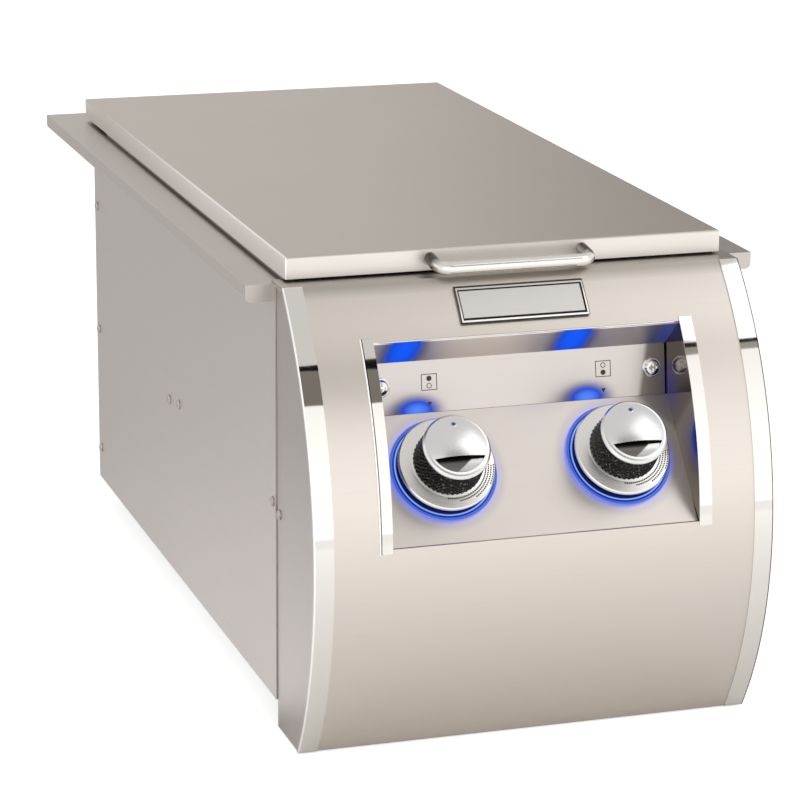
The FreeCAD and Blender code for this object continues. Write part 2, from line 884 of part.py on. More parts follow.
def make_cheek(name, side):
    """Flat end of the front, set in behind the curved sheet, that closes it back to the cabinet."""
    x_low = -cheek_outer if side < 0 else cheek_inner
    x_high = -cheek_inner if side < 0 else cheek_outer
    zero = as_size(0.0)
    rear = s.cabinet_front - s.cheek_gap
    sheet = prism("cheek_blank", "YZ", [
        (front_y(front_inner_radius, plate_under), plate_under),
        Arc((s.front_axis_y, s.front_axis_z), front_inner_radius, "left"),
        (front_y(front_inner_radius, zero), zero),
        (rear, zero),
        (rear, plate_under),
    ], x_low, x_high)
    hole = cylinder(2.1, 6, (x_low - 2.0, *CHEEK_SCREW), "X")
    return cut(f"fascia_{name}_cheek", sheet, [hole])


def make_edge_band(name, side):
    """Polished band along one edge of the front."""
    x_low = -s.cabinet_half_width if side < 0 else s.band_inner_half
    x_high = -s.band_inner_half if side < 0 else s.cabinet_half_width
    return curve_band(f"fascia_{name}_band", s.front_radius + s.band_gauge, s.band_gauge,
                      as_size(0.0), front_top, x_low, x_high)


def make_opening_trim(name, side):
    """Polished strip down one side of the control opening."""
    outer = s.recess_half_width + s.trim_width
    x_low = -outer if side < 0 else s.recess_half_width
    x_high = -s.recess_half_width if side < 0 else outer
    return curve_band(f"opening_{name}_trim", s.front_radius + s.trim_gauge, s.trim_gauge,
                      panel_low_z - s.trim_overrun, s.recess_top + s.trim_overrun, x_low, x_high)


# Control recess


def make_recess_ceiling():
    """Mirror bright slope between the top of the opening and the label panel."""
    start_z = s.recess_top - 2.2
    slope = (s.ceiling_back_y - front_y(s.front_radius, s.recess_top)) / (s.recess_top - s.ceiling_back_z)
    start_y = front_y(s.front_radius, s.recess_top) + slope * 2.2
    thick = s.sheet_gauge * 1.3
    return prism("recess_ceiling", "YZ", [
        (start_y, start_z),
        (s.ceiling_back_y, s.ceiling_back_z),
        (s.ceiling_back_y, s.ceiling_back_z + thick),
        (start_y, start_z + thick),
    ], -s.recess_half_width, s.recess_half_width)


def make_label_panel():
    """Upright strip behind the knobs, held by a screw at each end."""
    sheet = prism("label_blank", "YZ", [
        (s.ceiling_back_y, s.ceiling_back_z),
        (s.crease_y, s.crease_z + 0.2),
        (s.crease_y + s.sheet_gauge, s.crease_z + 0.2),
        (s.ceiling_back_y + s.sheet_gauge, s.ceiling_back_z),
    ], -s.recess_half_width, s.recess_half_width)
    holes = [cylinder(2.2, 12, (x, s.crease_y - 3.0, label_screw_z), "Y") for x in label_screw_x]
    return cut("label_panel", sheet, holes)


label_screw_x = (-90.0, 91.0)
label_screw_z = 225.6


def make_label_screws():
    fraction = (label_screw_z - s.crease_z.number) / (s.ceiling_back_z - s.crease_z).number
    lean = (s.ceiling_back_y - s.crease_y).number
    y = s.crease_y.number + fraction * lean
    facing = Vector(0, -(s.ceiling_back_z - s.crease_z).number, lean)
    spots = [(Vector(x, y - 0.05, label_screw_z), facing) for x in label_screw_x]
    return screws("label_screws", pan_head(5.2, 3.0, 2.0, 5.0, cross=True), spots)


def make_knob_panel():
    """Sloped panel under the knobs, pierced for the valves, its lower edge turned down."""
    body = new_body("knob_panel")
    sketch = new_sketch(body, "XY")
    length = s.panel_length
    outline(sketch, rectangle((-s.recess_half_width, 0.0), (s.recess_half_width, length)))
    for side in SIDES.values():
        circle_in(sketch, (s.knob_half_spacing * side, length - s.knob_down_panel), 9.0)
    pad(body, sketch, s.sheet_gauge, reverse=True)
    lip = new_sketch(body, "YZ", -s.recess_half_width)
    gauge = s.sheet_gauge
    outline(lip, [
        (as_size(0.0), as_size(0.0)),
        (-9.0 * panel_sin, -9.0 * panel_cos),
        (gauge * panel_cos - 9.0 * panel_sin, -gauge * panel_sin - 9.0 * panel_cos),
        (gauge * panel_cos, -gauge * panel_sin),
    ])
    pad(body, lip, s.recess_half_width * 2.0)
    place(body, (0, panel_low_y, panel_low_z), Rotation(Vector(1, 0, 0), s.panel_tilt.number))
    return body


def make_recess_wall(name, side):
    """Mirror bright end wall of the control recess."""
    inner = s.recess_half_width
    outer = inner + s.sheet_gauge
    x_low = -outer if side < 0 else inner
    x_high = -inner if side < 0 else outer
    centre = (s.front_axis_y, s.front_axis_z)
    return prism(f"recess_{name}_wall", "YZ", [
        (front_y(s.front_radius, s.recess_top - 0.1), s.recess_top - 0.1),
        Arc(centre, s.front_radius, "left"),
        (front_y(s.front_radius, panel_low_z + 0.1), panel_low_z + 0.1),
        (s.crease_y + 3.0, s.crease_z - 6.0),
        (s.ceiling_back_y + 3.0, s.ceiling_back_z + 4.0),
        (front_y(front_inner_radius, s.recess_top - 0.1) + 0.5, s.recess_top - 0.1),
    ], x_low, x_high)


# Name plate, left bare


def make_plate_rim():
    """Chromed rim bent to the front, with the field inside it recessed."""
    outer = curve_band("rim_blank", s.front_radius + 1.8, as_size(1.8), s.plate_low, s.plate_high,
                       -s.plate_half_width, s.plate_half_width)
    window = box((1.4 - s.plate_half_width, s.plate_half_width - 1.4), (-330.0, -250.0),
                 (s.plate_low + 1.4, s.plate_high - 1.4))
    return cut("name_plate_rim", outer, [window])


def make_plate_field():
    return curve_band("name_plate_field", s.front_radius + 1.0, as_size(1.0), s.plate_low + 1.4,
                      s.plate_high - 1.4, 1.4 - s.plate_half_width, s.plate_half_width - 1.4)


# Knobs, lights and valves, built upright and tilted square to the knob panel

TILT = Rotation(Vector(1, 0, 0), s.panel_tilt.number)


def along_axis(height):
    """Y and Z of the point on the knob axis at a height above the panel."""
    height = as_size(height)
    return knob_y - height * panel_sin, knob_z + height * panel_cos


def knob_place(side, height=0.0):
    y, z = along_axis(height)
    return (s.knob_half_spacing * side, y, z)


def make_light_ring(name, side):
    """Clear ring that glows round the knob, with two fine grooves."""
    inner = s.ring_inner_radius
    outer = s.ring_outer_radius
    high = s.ring_height
    return revolve(f"{name}_light_ring", [
        (inner, 0.0),
        (outer, 0.0),
        (outer, 1.2),
        (outer - 0.8, 2.0),
        (outer - 1.8, 2.0),
        (outer - 2.2, 1.5),
        (outer - 2.6, high - 0.5),
        (outer - 4.0, high - 0.5),
        (outer - 4.4, 2.0),
        (outer - 4.8, high),
        (inner, high),
    ], knob_place(side), TILT)


def make_light_board(name, side):
    """Ring shaped board with the lamps, fixed behind the knob panel."""
    return revolve(f"{name}_light_board", [
        (14.0, -2.8), (33.0, -2.8), (33.0, -1.2), (14.0, -1.2),
    ], knob_place(side), TILT)


def make_skirt(name, side):
    """Chromed dish at the foot of the knob."""
    outer = s.skirt_radius
    grip = s.grip_base_radius
    return revolve(f"{name}_knob_skirt", [
        (8.0, 9.4),
        (outer - 2.4, 9.4),
        (outer - 1.8, 8.2),
        (outer - 0.6, 8.2),
        (outer, 8.8),
        (outer, 10.6),
        (outer - 0.8, 11.3),
        (grip + 1.0, 12.2),
        (grip - 1.0, 12.6),
        (8.0, 12.6),
    ], knob_place(side), TILT)


def make_grip(name, side):
    """Knurled barrel with the hub that takes the valve stem."""
    bore = s.stem_radius + 0.05
    body = revolve(f"{name}_knob_grip", [
        (bore, 5.0),
        (7.9, 5.0),
        (7.9, 12.6),
        (s.grip_base_radius, 12.6),
        (s.grip_base_radius - 0.5, 20.0),
        (s.cap_radius - 0.5, s.cap_height),
        (0.0, s.cap_height),
        (0.0, 26.0),
        (bore, 26.0),
    ], knob_place(side), TILT)
    sketch = new_sketch(body, "XY", 13.2)
    tip = s.grip_base_radius - 1.3
    wide = s.grip_base_radius + 0.5
    outline(sketch, [(tip, 0.0), (wide, -1.2), (wide, 1.2)])
    flute = pocket(body, sketch, s.cap_height - 14.6, reverse=True)
    polar(body, flute, sketch, 24)
    return body


def make_cap(name, side):
    """Domed cap with a scoop inside its rim, straight along the top, for a finger to turn it by."""
    rim = s.cap_radius
    top = s.cap_height
    blank = revolve(f"{name}_cap_blank", [
        (0.0, top),
        (rim - 0.8, top),
        (rim, top + 0.8),
        (rim, top + 2.0),
        (rim - 1.2, top + 3.2),
        (rim - 2.4, top + 3.4),
        Arc((0.0, top - 48.0), 54.8, "left"),
        (0.0, top + 6.8),
    ], knob_place(side), TILT)
    scoop = feature("scoop", scoop_shape(rim.number, top.number))
    place(scoop, knob_place(side), TILT)
    return cut(f"{name}_knob_cap", blank, [scoop])


def scoop_shape(rim, top):
    """Hollow swept along the straight edge of the scoop and kept inside the rim of the cap."""
    wall = -7.8
    reach = rim - 3.6
    deep = Vector(-rim, wall, top + 2.2)
    lip = Vector(-rim, -reach, top + 3.9)
    edges = [
        Part.LineSegment(Vector(-rim, wall, top + 12.0), deep).toShape(),
        Part.Arc(deep, Vector(-rim, wall - 4.8, top + 2.2), lip).toShape(),
        Part.LineSegment(lip, Vector(-rim, -reach - 1.0, top + 12.0)).toShape(),
        Part.LineSegment(Vector(-rim, -reach - 1.0, top + 12.0), Vector(-rim, wall, top + 12.0)).toShape(),
    ]
    swept = Part.Face(Part.Wire(edges)).extrude(Vector(rim * 2.0, 0, 0))
    return swept.common(Part.makeCylinder(reach, 14.0, Vector(0, 0, top)))


def make_stem(name, side):
    """Valve stem with the flat that drives the knob."""
    shaft = cylinder(s.stem_radius, 63, knob_place(side, -38.0))
    place(shaft, knob_place(side, -38.0), TILT)
    shaft.Label = f"{name}_valve_stem"
    return shaft


def make_collar(name, side):
    """Collar that is pushed in with the stem but can't turn."""
    bore = s.stem_radius + 0.06
    return revolve(f"{name}_push_collar", [
        (bore, 1.6), (7.2, 1.6), (7.2, 3.6), (6.6, 4.2), (bore, 4.2),
    ], knob_place(side), TILT)


VALVE_BORE_END = -43.0


def make_valve(name, side):
    """Gas valve: bonnet, square body and the outlet boss on its upper side."""
    bore = s.stem_radius + 0.06
    body = revolve(f"{name}_valve_body", [
        (bore, VALVE_BORE_END), (bore, -2.6), (7.9, -2.6), (7.9, -1.2), (12.6, -1.2), (12.6, -3.4),
        (9.4, -3.4), (9.4, -9.0), (11.4, -9.0), (11.4, -50.0), (0.0, -50.0), (0.0, VALVE_BORE_END),
    ], knob_place(side), TILT)
    half = s.valve_half_width
    sketch = new_sketch(body, "XY", s.valve_bottom)
    outline(sketch, rectangle((-half, -half), (half, half)))
    circle_in(sketch, (0.0, 0.0), bore)
    block = pad(body, sketch, 33.0)
    block.Label = f"{name}_valve_block"
    plug = new_sketch(body, "XY", s.valve_bottom)
    circle_in(plug, (0.0, 0.0), bore + 1.0)
    pad(body, plug, as_size(VALVE_BORE_END) - s.valve_bottom)
    boss = new_sketch(body, "XZ", -14.0)
    circle_in(boss, (0.0, -38.0), 6.5)
    pad(body, boss, 4.0)
    return body


def make_manifold():
    return bored_pipe("gas_manifold", s.manifold_radius, 8.0, -100.0, 104.0)


def bored_pipe(label, radius, bore, x_low, x_high):
    """Straight pipe along X on the manifold's axis."""
    outer = cylinder(radius, x_high - x_low, (x_low, manifold_y, manifold_z), "X")
    inner = cylinder(bore, x_high - x_low + 2, (x_low - 1, manifold_y, manifold_z), "X")
    return cut(label, outer, [inner])


def make_manifold_cap():
    """Cap over the closed end of the manifold."""
    shell = cylinder(13.5, 16, (-106.0, manifold_y, manifold_z), "X")
    socket = cylinder(s.manifold_radius + 0.05, 20, (-100.0, manifold_y, manifold_z), "X")
    return cut("manifold_cap", shell, [socket])


def make_inlet_elbow():
    """Elbow that turns the manifold down to the supply hose."""
    across = cylinder(13.5, 44, (94.0, manifold_y, manifold_z), "X")
    down = cylinder(13.0, 34, (INLET_X, manifold_y, manifold_z), "-Z")
    blank = fuse("elbow_blank", [across, down])
    socket = cylinder(s.manifold_radius + 0.05, 11, (93.0, manifold_y, manifold_z), "X")
    bore_across = cylinder(8.0, 30, (94.0, manifold_y, manifold_z), "X")
    bore_down = cylinder(7.0, 40, (INLET_X, manifold_y, manifold_z), "-Z")
    return cut("inlet_elbow", blank, [socket, bore_across, bore_down])


def make_inlet_fitting():
    """Brass flare fitting for the supply hose, with its hexagon and flared nose."""
    top = manifold_z - 34.0
    turned = revolve("fitting_blank", [
        (4.5, -34.0), (5.4, -34.0), (7.94, -30.0), (7.94, -10.0), (11.5, -10.0), (11.5, 0.0), (4.5, 0.0),
    ], (INLET_X, manifold_y, top))
    hexagon = prism("fitting_hexagon", "XY", [
        (INLET_X + 11.2 * math.cos(math.radians(60 * step)),
         manifold_y + 11.2 * math.sin(math.radians(60 * step))) for step in range(6)
    ], top - 40.0, top + 1.0)
    return common("inlet_fitting", turned, hexagon)


# Burners


def make_tray():
    """Pressed burner tray: rim on the frame, deep walls, raised collars round the burner throats."""
    body = new_body("burner_tray")
    half = s.tray_half_width
    rim = new_sketch(body, "XY", s.flange_top)
    outline(rim, rectangle((-half - 7.0, s.tray_front - 7.0), (half + 7.0, s.tray_rear + 5.0)))
    pad(body, rim, 1.0)
    well = new_sketch(body, "XY", s.tray_bottom)
    outline(well, rectangle((-half, s.tray_front), (half, s.tray_rear)))
    pad(body, well, s.flange_top - s.tray_bottom + 0.5)
    hollow = new_sketch(body, "XY", s.tray_bottom + 1.0)
    outline(hollow, rectangle((1.0 - half, s.tray_front + 1.0), (half - 1.0, s.tray_rear - 1.0)))
    pocket(body, hollow, 60.0, reverse=True)
    collars = new_sketch(body, "XY", s.tray_bottom + 1.0)
    for _, y in BURNERS.values():
        circle_in(collars, (0.0, y), 27.5)
    pad(body, collars, 3.0)
    holes = new_sketch(body, "XY", s.tray_bottom - 2.0)
    for _, y in BURNERS.values():
        circle_in(holes, (0.0, y), s.throat_radius + 1.5)
        circle_in(holes, (30.0, y + 30.0), 3.3)
    pocket(body, holes, 20.0, reverse=True)
    return body


def make_burner_base(name, y):
    """Cast burner bowl with its throat under the tray and a boss for the gas tube."""
    throat = s.throat_radius
    wide = s.burner_radius
    side = BURNERS[name][0]
    bowl = revolve("bowl", [
        (0.0, 214.0), (throat - 3.0, 214.0), (throat, 217.0), (throat, 254.0), (28.0, 254.0),
        (wide, 259.6), (wide, 262.0), (wide - 3.0, 262.0), (27.0, 257.0), (throat - 3.0, 257.0),
        (throat - 3.0, 219.0), (0.0, 219.0),
    ], (0.0, y, 0.0))
    direction = "X" if side > 0 else "-X"
    boss = cylinder(8.0, 14.0, ((throat.number - 4.0) * side, y, s.gas_tube_height), direction)
    bore = cylinder(2.0, 30.0, ((throat.number - 10.0) * side, y, s.gas_tube_height), direction)
    blank = fuse("base_blank", [bowl, boss])
    return cut(f"{name}_burner_base", blank, [bore])


def make_burner_head(name, y):
    """Brass ring whose slots are the flame ports."""
    wide = s.burner_radius
    body = revolve(f"{name}_burner_head", [
        (20.0, 262.0), (wide, 262.0), (wide - 1.0, s.cap_seat), (24.0, s.cap_seat), (24.0, 264.0), (20.0, 264.0),
    ], (0.0, y, 0.0))
    sketch = new_sketch(body, "XY", s.cap_seat)
    outline(sketch, rectangle((22.0, -1.1), (40.0, 1.1)))
    port = pocket(body, sketch, 3.2)
    polar(body, port, sketch, 24)
    return body


def make_burner_cap(name, y):
    """Shallow coned cap, flat in the middle, that closes the ports and lifts off for cleaning."""
    seat = s.cap_seat
    return revolve(f"{name}_burner_cap", [
        (0.0, seat), (34.0, seat), (34.8, seat + 0.8), (34.8, seat + 1.6), (33.0, seat + 2.6),
        (20.0, seat + 4.8), (10.0, seat + 5.39), (0.0, seat + 5.39),
    ], (0.0, y, 0.0))


def make_igniters():
    """Ceramic insulators beside each burner."""
    rods = []
    for _, y in BURNERS.values():
        rods.append(cylinder(3.2, 26.0, (30.0, y + 30.0, 236.0), "Z"))
    return compound("igniter_ceramics", rods)


def make_igniter_tips():
    """Spark wires that lean from the ceramics towards the burner heads."""
    tips = []
    for name, (_, y) in BURNERS.items():
        foot = Vector(30.0, y.number + 30.0, 262.0)
        points = [foot, foot + Vector(0, 0, 5.0), foot + Vector(-2.4, -2.4, 8.0)]
        tips.append(bent_tube(f"{name}_tip", points, 1.6, 0.9))
    return compound("igniter_tips", tips)


def make_gas_tube(name):
    """Tube from a valve, through the heat shield and back to its burner."""
    side, burner_y = BURNERS[name]
    x = s.knob_half_spacing.number * side
    height = s.gas_tube_height.number
    start = Vector(x, outlet_y.number, outlet_z.number)
    rise = height - start.z
    knee = start + Vector(0, rise * (panel_cos / panel_sin).number, rise)
    points = [
        start,
        knee,
        Vector(x, burner_y.number, height),
        Vector((s.throat_radius.number + 10.0) * side, burner_y.number, height),
    ]
    return bent_tube(f"{name}_gas_tube", points, 16.0, s.gas_tube_radius.number, 3.0)


def make_spark_module():
    """Spark generator on the back of the heat shield."""
    back = s.shield_y + s.sheet_gauge
    case = box((-105.0, -40.0), (back, back + 30.0), (70.0, 112.0))
    sockets = [cylinder(4.0, 6.0, (x, back + 15.0, 112.0), "Z") for x in (-85.0, -60.0)]
    return fuse("spark_module", [case] + sockets)


def make_leads():
    """High tension leads from the spark module to the two igniters."""
    depth = (s.shield_y + s.sheet_gauge + 15.0).number
    leads = []
    for name, x in (("rear", -85.0), ("front", -60.0)):
        y = BURNERS[name][1].number + 30.0
        points = [
            Vector(x, depth, 118.0),
            Vector(x, depth, 170.0),
            Vector(x + 20.0, y - 30.0, 196.0),
            Vector(30.0, y, 190.0),
            Vector(30.0, y, 236.0),
        ]
        leads.append(bent_tube(f"{name}_igniter_lead", points, 14.0, 1.8))
    return compound("igniter_leads", leads)


def make_grate(name, y):
    """Cast iron pan support: square frame, radial fingers and corner feet."""
    half = s.grate_half
    width = s.grate_bar_width
    low = s.grate_top - s.grate_bar_height
    body = new_body(f"{name}_grate")
    frame = new_sketch(body, "XY", low)
    outline(frame, rectangle((-half, -half), (half, half)))
    outline(frame, rectangle((width - half, width - half), (half - width, half - width)))
    pad(body, frame, s.grate_bar_height - 2.0)
    for offset, reach in ((0.0, 27.0), (-50.0, 52.0), (50.0, 52.0)):
        finger = new_sketch(body, "YZ", offset - 3.5)
        outline(finger, [
            (width / 2 - half, low),
            (-reach - 4.0, low + 3.0),
            (as_size(-reach), s.grate_top - 2.0),
            (-reach - 2.0, s.grate_top),
            (2.0 - half, s.grate_top),
            (width / 2 - half, s.grate_top - 2.0),
        ])
        bar = pad(body, finger, 7.0)
        polar(body, bar, frame, 4)
    feet = new_sketch(body, "XY", s.tray_bottom + 1.0)
    for x in (-1.0, 1.0):
        for side in (-1.0, 1.0):
            middle = (half - 7.0) * x, (half - 7.0) * side
            outline(feet, rectangle((middle[0] - 5.0, middle[1] - 5.0), (middle[0] + 5.0, middle[1] + 5.0)))
    pad(body, feet, low - s.tray_bottom)
    place(body, (0.0, y, 0.0))
    return body


def build():
    parts = [
        make_lid(), make_handle(), make_handle_screws(), make_hinge_leaves(), make_hinge_rod(),
        make_hinge_brackets(), make_bumpers(), make_top_frame(), make_back_panel(), make_bottom_pan(),
        make_heat_shield(), make_side_screws(), make_fascia(), make_recess_ceiling(), make_label_panel(),
        make_label_screws(), make_knob_panel(), make_plate_rim(), make_plate_field(), make_manifold(),
        make_manifold_cap(), make_inlet_elbow(), make_inlet_fitting(), make_tray(), make_igniters(),
        make_igniter_tips(), make_spark_module(), make_leads(),
        make_pair("edge_bands", make_edge_band), make_pair("opening_trims", make_opening_trim),
        make_pair("recess_walls", make_recess_wall), make_pair("light_boards", make_light_board),
        compound("gas_tubes", [make_gas_tube(name) for name in BURNERS]),
    ]
    for name, side in SIDES.items():
        parts += [
            make_side_panel(name, side), make_cheek(name, side), make_light_ring(name, side),
            make_skirt(name, side), make_grip(name, side), make_cap(name, side), make_stem(name, side),
            make_collar(name, side), make_valve(name, side),
        ]
    for name, (_, y) in BURNERS.items():
        parts += [
            make_burner_base(name, y), make_burner_head(name, y), make_burner_cap(name, y),
            make_grate(name, y),
        ]
    return parts


def make_pair(label, maker):
    """The left and right copies of one piece, as separate solids in one node."""
    return compound(label, [maker(name, side) for name, side in SIDES.items()])


def check(parts):
    """Stop before writing anything if a feature failed or a shape is not sound."""
    for obj in doc.Objects:
        if "Invalid" in obj.State or "Error" in obj.State:
            raise RuntimeError(f"{obj.Label} ({obj.Name}) failed: {obj.State}")
    labels = [part.Label for part in parts]
    if len(labels) != len(set(labels)):
        raise RuntimeError("two sub-parts share a name")
    for part in parts:
        shape = part.Shape
        if shape.isNull() or not shape.isValid() or not shape.Solids:
            raise RuntimeError(f"{part.Label} has no sound shape")


def write(parts):
    os.makedirs("parts", exist_ok=True)
    for part in parts:
        part.Shape.exportStep(f"parts/{part.Label}.step")
        extent = part.Shape.BoundBox
        print(f"{part.Label}: {len(part.Shape.Solids)} solid(s), {part.Shape.Volume:.0f} mm3, "
              f"x {extent.XMin:.1f} {extent.XMax:.1f}, y {extent.YMin:.1f} {extent.YMax:.1f}, "
              f"z {extent.ZMin:.1f} {extent.ZMax:.1f}")


parts = build()
doc.recompute()
check(parts)
write(parts)
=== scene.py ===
# %% [markdown]
# A built in side burner for an outdoor kitchen: a stainless steel cabinet that drops into a counter,
# with a flat hinged lid, two burners under it, and a bowed front with two lit control knobs.
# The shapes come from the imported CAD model. This lesson gives them their finishes, adds the fine pieces
# that are easier in Blender than in CAD, and lights the whole as a studio would light polished metal.

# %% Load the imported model
import json
import math

import bpy
from mathutils import Matrix, Vector


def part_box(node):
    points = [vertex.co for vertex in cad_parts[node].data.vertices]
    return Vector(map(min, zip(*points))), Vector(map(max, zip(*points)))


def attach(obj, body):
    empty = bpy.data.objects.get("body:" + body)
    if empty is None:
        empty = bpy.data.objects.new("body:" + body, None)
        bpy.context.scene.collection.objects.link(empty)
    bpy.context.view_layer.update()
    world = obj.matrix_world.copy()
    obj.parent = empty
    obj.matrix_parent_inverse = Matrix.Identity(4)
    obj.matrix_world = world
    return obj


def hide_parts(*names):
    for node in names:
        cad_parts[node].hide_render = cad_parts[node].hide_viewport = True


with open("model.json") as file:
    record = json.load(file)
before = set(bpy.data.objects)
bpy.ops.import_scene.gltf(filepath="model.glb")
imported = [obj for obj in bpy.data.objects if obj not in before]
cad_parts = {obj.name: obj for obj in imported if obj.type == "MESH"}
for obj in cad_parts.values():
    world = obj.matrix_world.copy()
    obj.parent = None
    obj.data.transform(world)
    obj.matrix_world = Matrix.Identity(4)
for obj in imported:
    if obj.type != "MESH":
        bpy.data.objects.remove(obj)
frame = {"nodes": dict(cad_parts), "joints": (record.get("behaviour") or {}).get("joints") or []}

MM = 0.001
SIDEWAYS = Vector((1, 0, 0))
nodes = frame["nodes"]
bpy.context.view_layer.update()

# %% [markdown]
# Colours are written as sRGB hex values, as a paint chart or a picture editor gives them. Blender works in
# linear light, so one function turns each value once, here, and no other place has to think about it. A
# second function adds every node of this lesson, with its settings and its links.

# %% Colour and node helpers
def srgb(hex_colour):
    """Linear RGBA of an sRGB hex colour."""
    parts = [int(hex_colour[i:i + 2], 16) / 255 for i in (0, 2, 4)]
    linear = [c / 12.92 if c <= 0.04045 else ((c + 0.055) / 1.055) ** 2.4 for c in parts]
    return (*linear, 1.0)


def add_node(tree, kind, inputs=(), stops=(), **settings):
    """Add a node, set its properties and fill its inputs.

    Inputs are a list in the node's own order, or a dict by name or number. Each is a value, an output of
    another node, or another node, which stands for its first output. Stops are for a colour ramp: pairs
    of a position and a hex colour, or a number for a plain level.
    """
    made = tree.nodes.new(kind)
    for name, value in settings.items():
        setattr(made, name, value)
    for key, value in inputs.items() if isinstance(inputs, dict) else enumerate(inputs):
        if isinstance(value, bpy.types.Node):
            value = value.outputs[0]
        if isinstance(value, bpy.types.NodeSocket):
            tree.links.new(value, made.inputs[key])
        else:
            made.inputs[key].default_value = value
    if stops:
        elements = made.color_ramp.elements
        for _ in stops[2:]:
            elements.new(1.0)
        for element, (position, colour) in zip(elements, stops):
            element.position = position
            element.color = srgb(colour) if isinstance(colour, str) else (colour, colour, colour, 1.0)
    return made


print("white is", [round(c, 3) for c in srgb("FFFFFF")])

# %% [markdown]
# The camera is where the photographer stood: to the left of the front and a little above it, with a long
# lens, so that upright edges stay nearly parallel. The place and the three directions of its frame were
# solved from the edges of the cabinet in the photograph, and are kept here as plain measures. Two small
# helpers come first, because later steps place their pieces in the same way.

# %% Camera
CAMERA_PLACE = Vector((-0.66342, -2.10591, 0.74814))
CAMERA_RIGHT = Vector((0.95266, -0.30397, 0.00678))
CAMERA_DOWN = Vector((-0.07491, -0.25628, -0.96370))
CAMERA_FORWARD = Vector((0.29467, 0.91756, -0.26692))
LENS_MM = 144.0
FILM_MM = 36.0


def place_object(name, data):
    """New object in the scene."""
    made = bpy.data.objects.new(name, data)
    bpy.context.scene.collection.objects.link(made)
    return made


def carry_to(place, right, up, out):
    """Matrix that carries a flat table to a place, and turns its X, Y and Z to three directions."""
    return Matrix.Translation(place) @ Matrix((right, up, out)).transposed().to_4x4()


camera_data = bpy.data.cameras.new("long_lens")
camera_data.lens = LENS_MM
camera_data.sensor_width = FILM_MM
camera = place_object("camera", camera_data)
camera.matrix_world = carry_to(CAMERA_PLACE, CAMERA_RIGHT, -CAMERA_DOWN, -CAMERA_FORWARD)
bpy.context.scene.camera = camera
print("camera at", [round(c, 3) for c in CAMERA_PLACE])

# %% [markdown]
# The floor is a plain pale sheet that keeps a soft shadow under the object. The camera sees it lifted to the
# white of the background, as an overlit paper backdrop is, while its true paleness still lights the object
# from below. Metal sees a smaller lift that changes from front to back: a pool of light lies beside the
# object and another well in front of it.

# %% Floor
FLOOR_HALF = 14.0
FLOOR_Z = -1 * MM
SEEN_LIFT = 0.62
POOLS = [(-1.30, 0.44), (-0.85, 0.40), (-0.60, 0.34), (-0.44, 0.25), (-0.36, 0.14), (-0.30, 0.0),
         (-0.25, 0.0), (-0.20, 0.46), (0.05, 0.38), (0.50, 0.07), (1.10, 0.0)]


def empty_tree(holder):
    """Node tree of a material or a world, with nothing in it."""
    holder.use_nodes = True
    holder.node_tree.nodes.clear()
    return holder.node_tree


def square(half):
    """Corners of a square round the origin."""
    return [(-half, -half), (half, -half), (half, half), (-half, half)]


paper = bpy.data.materials.new("paper_backdrop")
tree = empty_tree(paper)
sheet = add_node(tree, "ShaderNodeBsdfDiffuse", {"Color": srgb("E9E8E6")})
path = add_node(tree, "ShaderNodeLightPath")
place = add_node(tree, "ShaderNodeTexCoord")
parts = add_node(tree, "ShaderNodeSeparateXYZ", [place.outputs["Object"]])
near, far = POOLS[0][0], POOLS[-1][0]
along = add_node(tree, "ShaderNodeMapRange", {"Value": parts.outputs["Y"], "From Min": near, "From Max": far})
pools = add_node(tree, "ShaderNodeValToRGB", [along],
                 stops=[((y - near) / (far - near), strength) for y, strength in POOLS])
level = add_node(tree, "ShaderNodeMix", {0: path.outputs["Is Glossy Ray"], 2: SEEN_LIFT, 3: pools})
lift = add_node(tree, "ShaderNodeEmission", {"Color": srgb("FFFFFF"), "Strength": level})
both = add_node(tree, "ShaderNodeAddShader", [sheet, lift])
mirrored = add_node(tree, "ShaderNodeMath", [path.outputs["Is Glossy Ray"],
                                             path.outputs["Is Transmission Ray"]], operation="MAXIMUM")
seen = add_node(tree, "ShaderNodeMath", [path.outputs["Is Camera Ray"], mirrored], operation="MAXIMUM")
shown = add_node(tree, "ShaderNodeMixShader", [seen, sheet, both])
add_node(tree, "ShaderNodeOutputMaterial", {"Surface": shown})

floor_mesh = bpy.data.meshes.new("floor")
floor_mesh.from_pydata([(x, y, FLOOR_Z) for x, y in square(FLOOR_HALF)], [], [(0, 1, 2, 3)])
floor_mesh.materials.append(paper)
place_object("floor", floor_mesh)
print("floor", 2 * FLOOR_HALF, "m wide")

# %% [markdown]
# Polished metal shows the room, so the room is what gets lit. The world is white at eye level and greyer
# overhead. The camera sees plain white, and so does anything that reflects the horizon.

# %% World
ROOM_STRENGTH = 0.90
MIRRORED_STRENGTH = 1.0
world = bpy.data.worlds.new("studio")
bpy.context.scene.world = world
tree = empty_tree(world)
direction = add_node(tree, "ShaderNodeTexCoord")
height = add_node(tree, "ShaderNodeSeparateXYZ", [direction.outputs["Generated"]])
tones = add_node(tree, "ShaderNodeValToRGB", [height.outputs["Z"]],
                 stops=[(0.30, "FFFFFF"), (0.75, "E0DEDC")])
path = add_node(tree, "ShaderNodeLightPath")
level = add_node(tree, "ShaderNodeMapRange", {"Value": path.outputs["Is Glossy Ray"], "To Min": ROOM_STRENGTH,
                                              "To Max": MIRRORED_STRENGTH})
plain = add_node(tree, "ShaderNodeBackground", {"Color": srgb("FFFFFF"), "Strength": 1.0})
room = add_node(tree, "ShaderNodeBackground", {"Color": tones, "Strength": level})
shown = add_node(tree, "ShaderNodeMixShader", [path.outputs["Is Camera Ray"], room, plain])
add_node(tree, "ShaderNodeOutputWorld", {"Surface": shown})
bpy.context.scene.view_settings.view_transform = "Standard"
print("world strength", ROOM_STRENGTH)

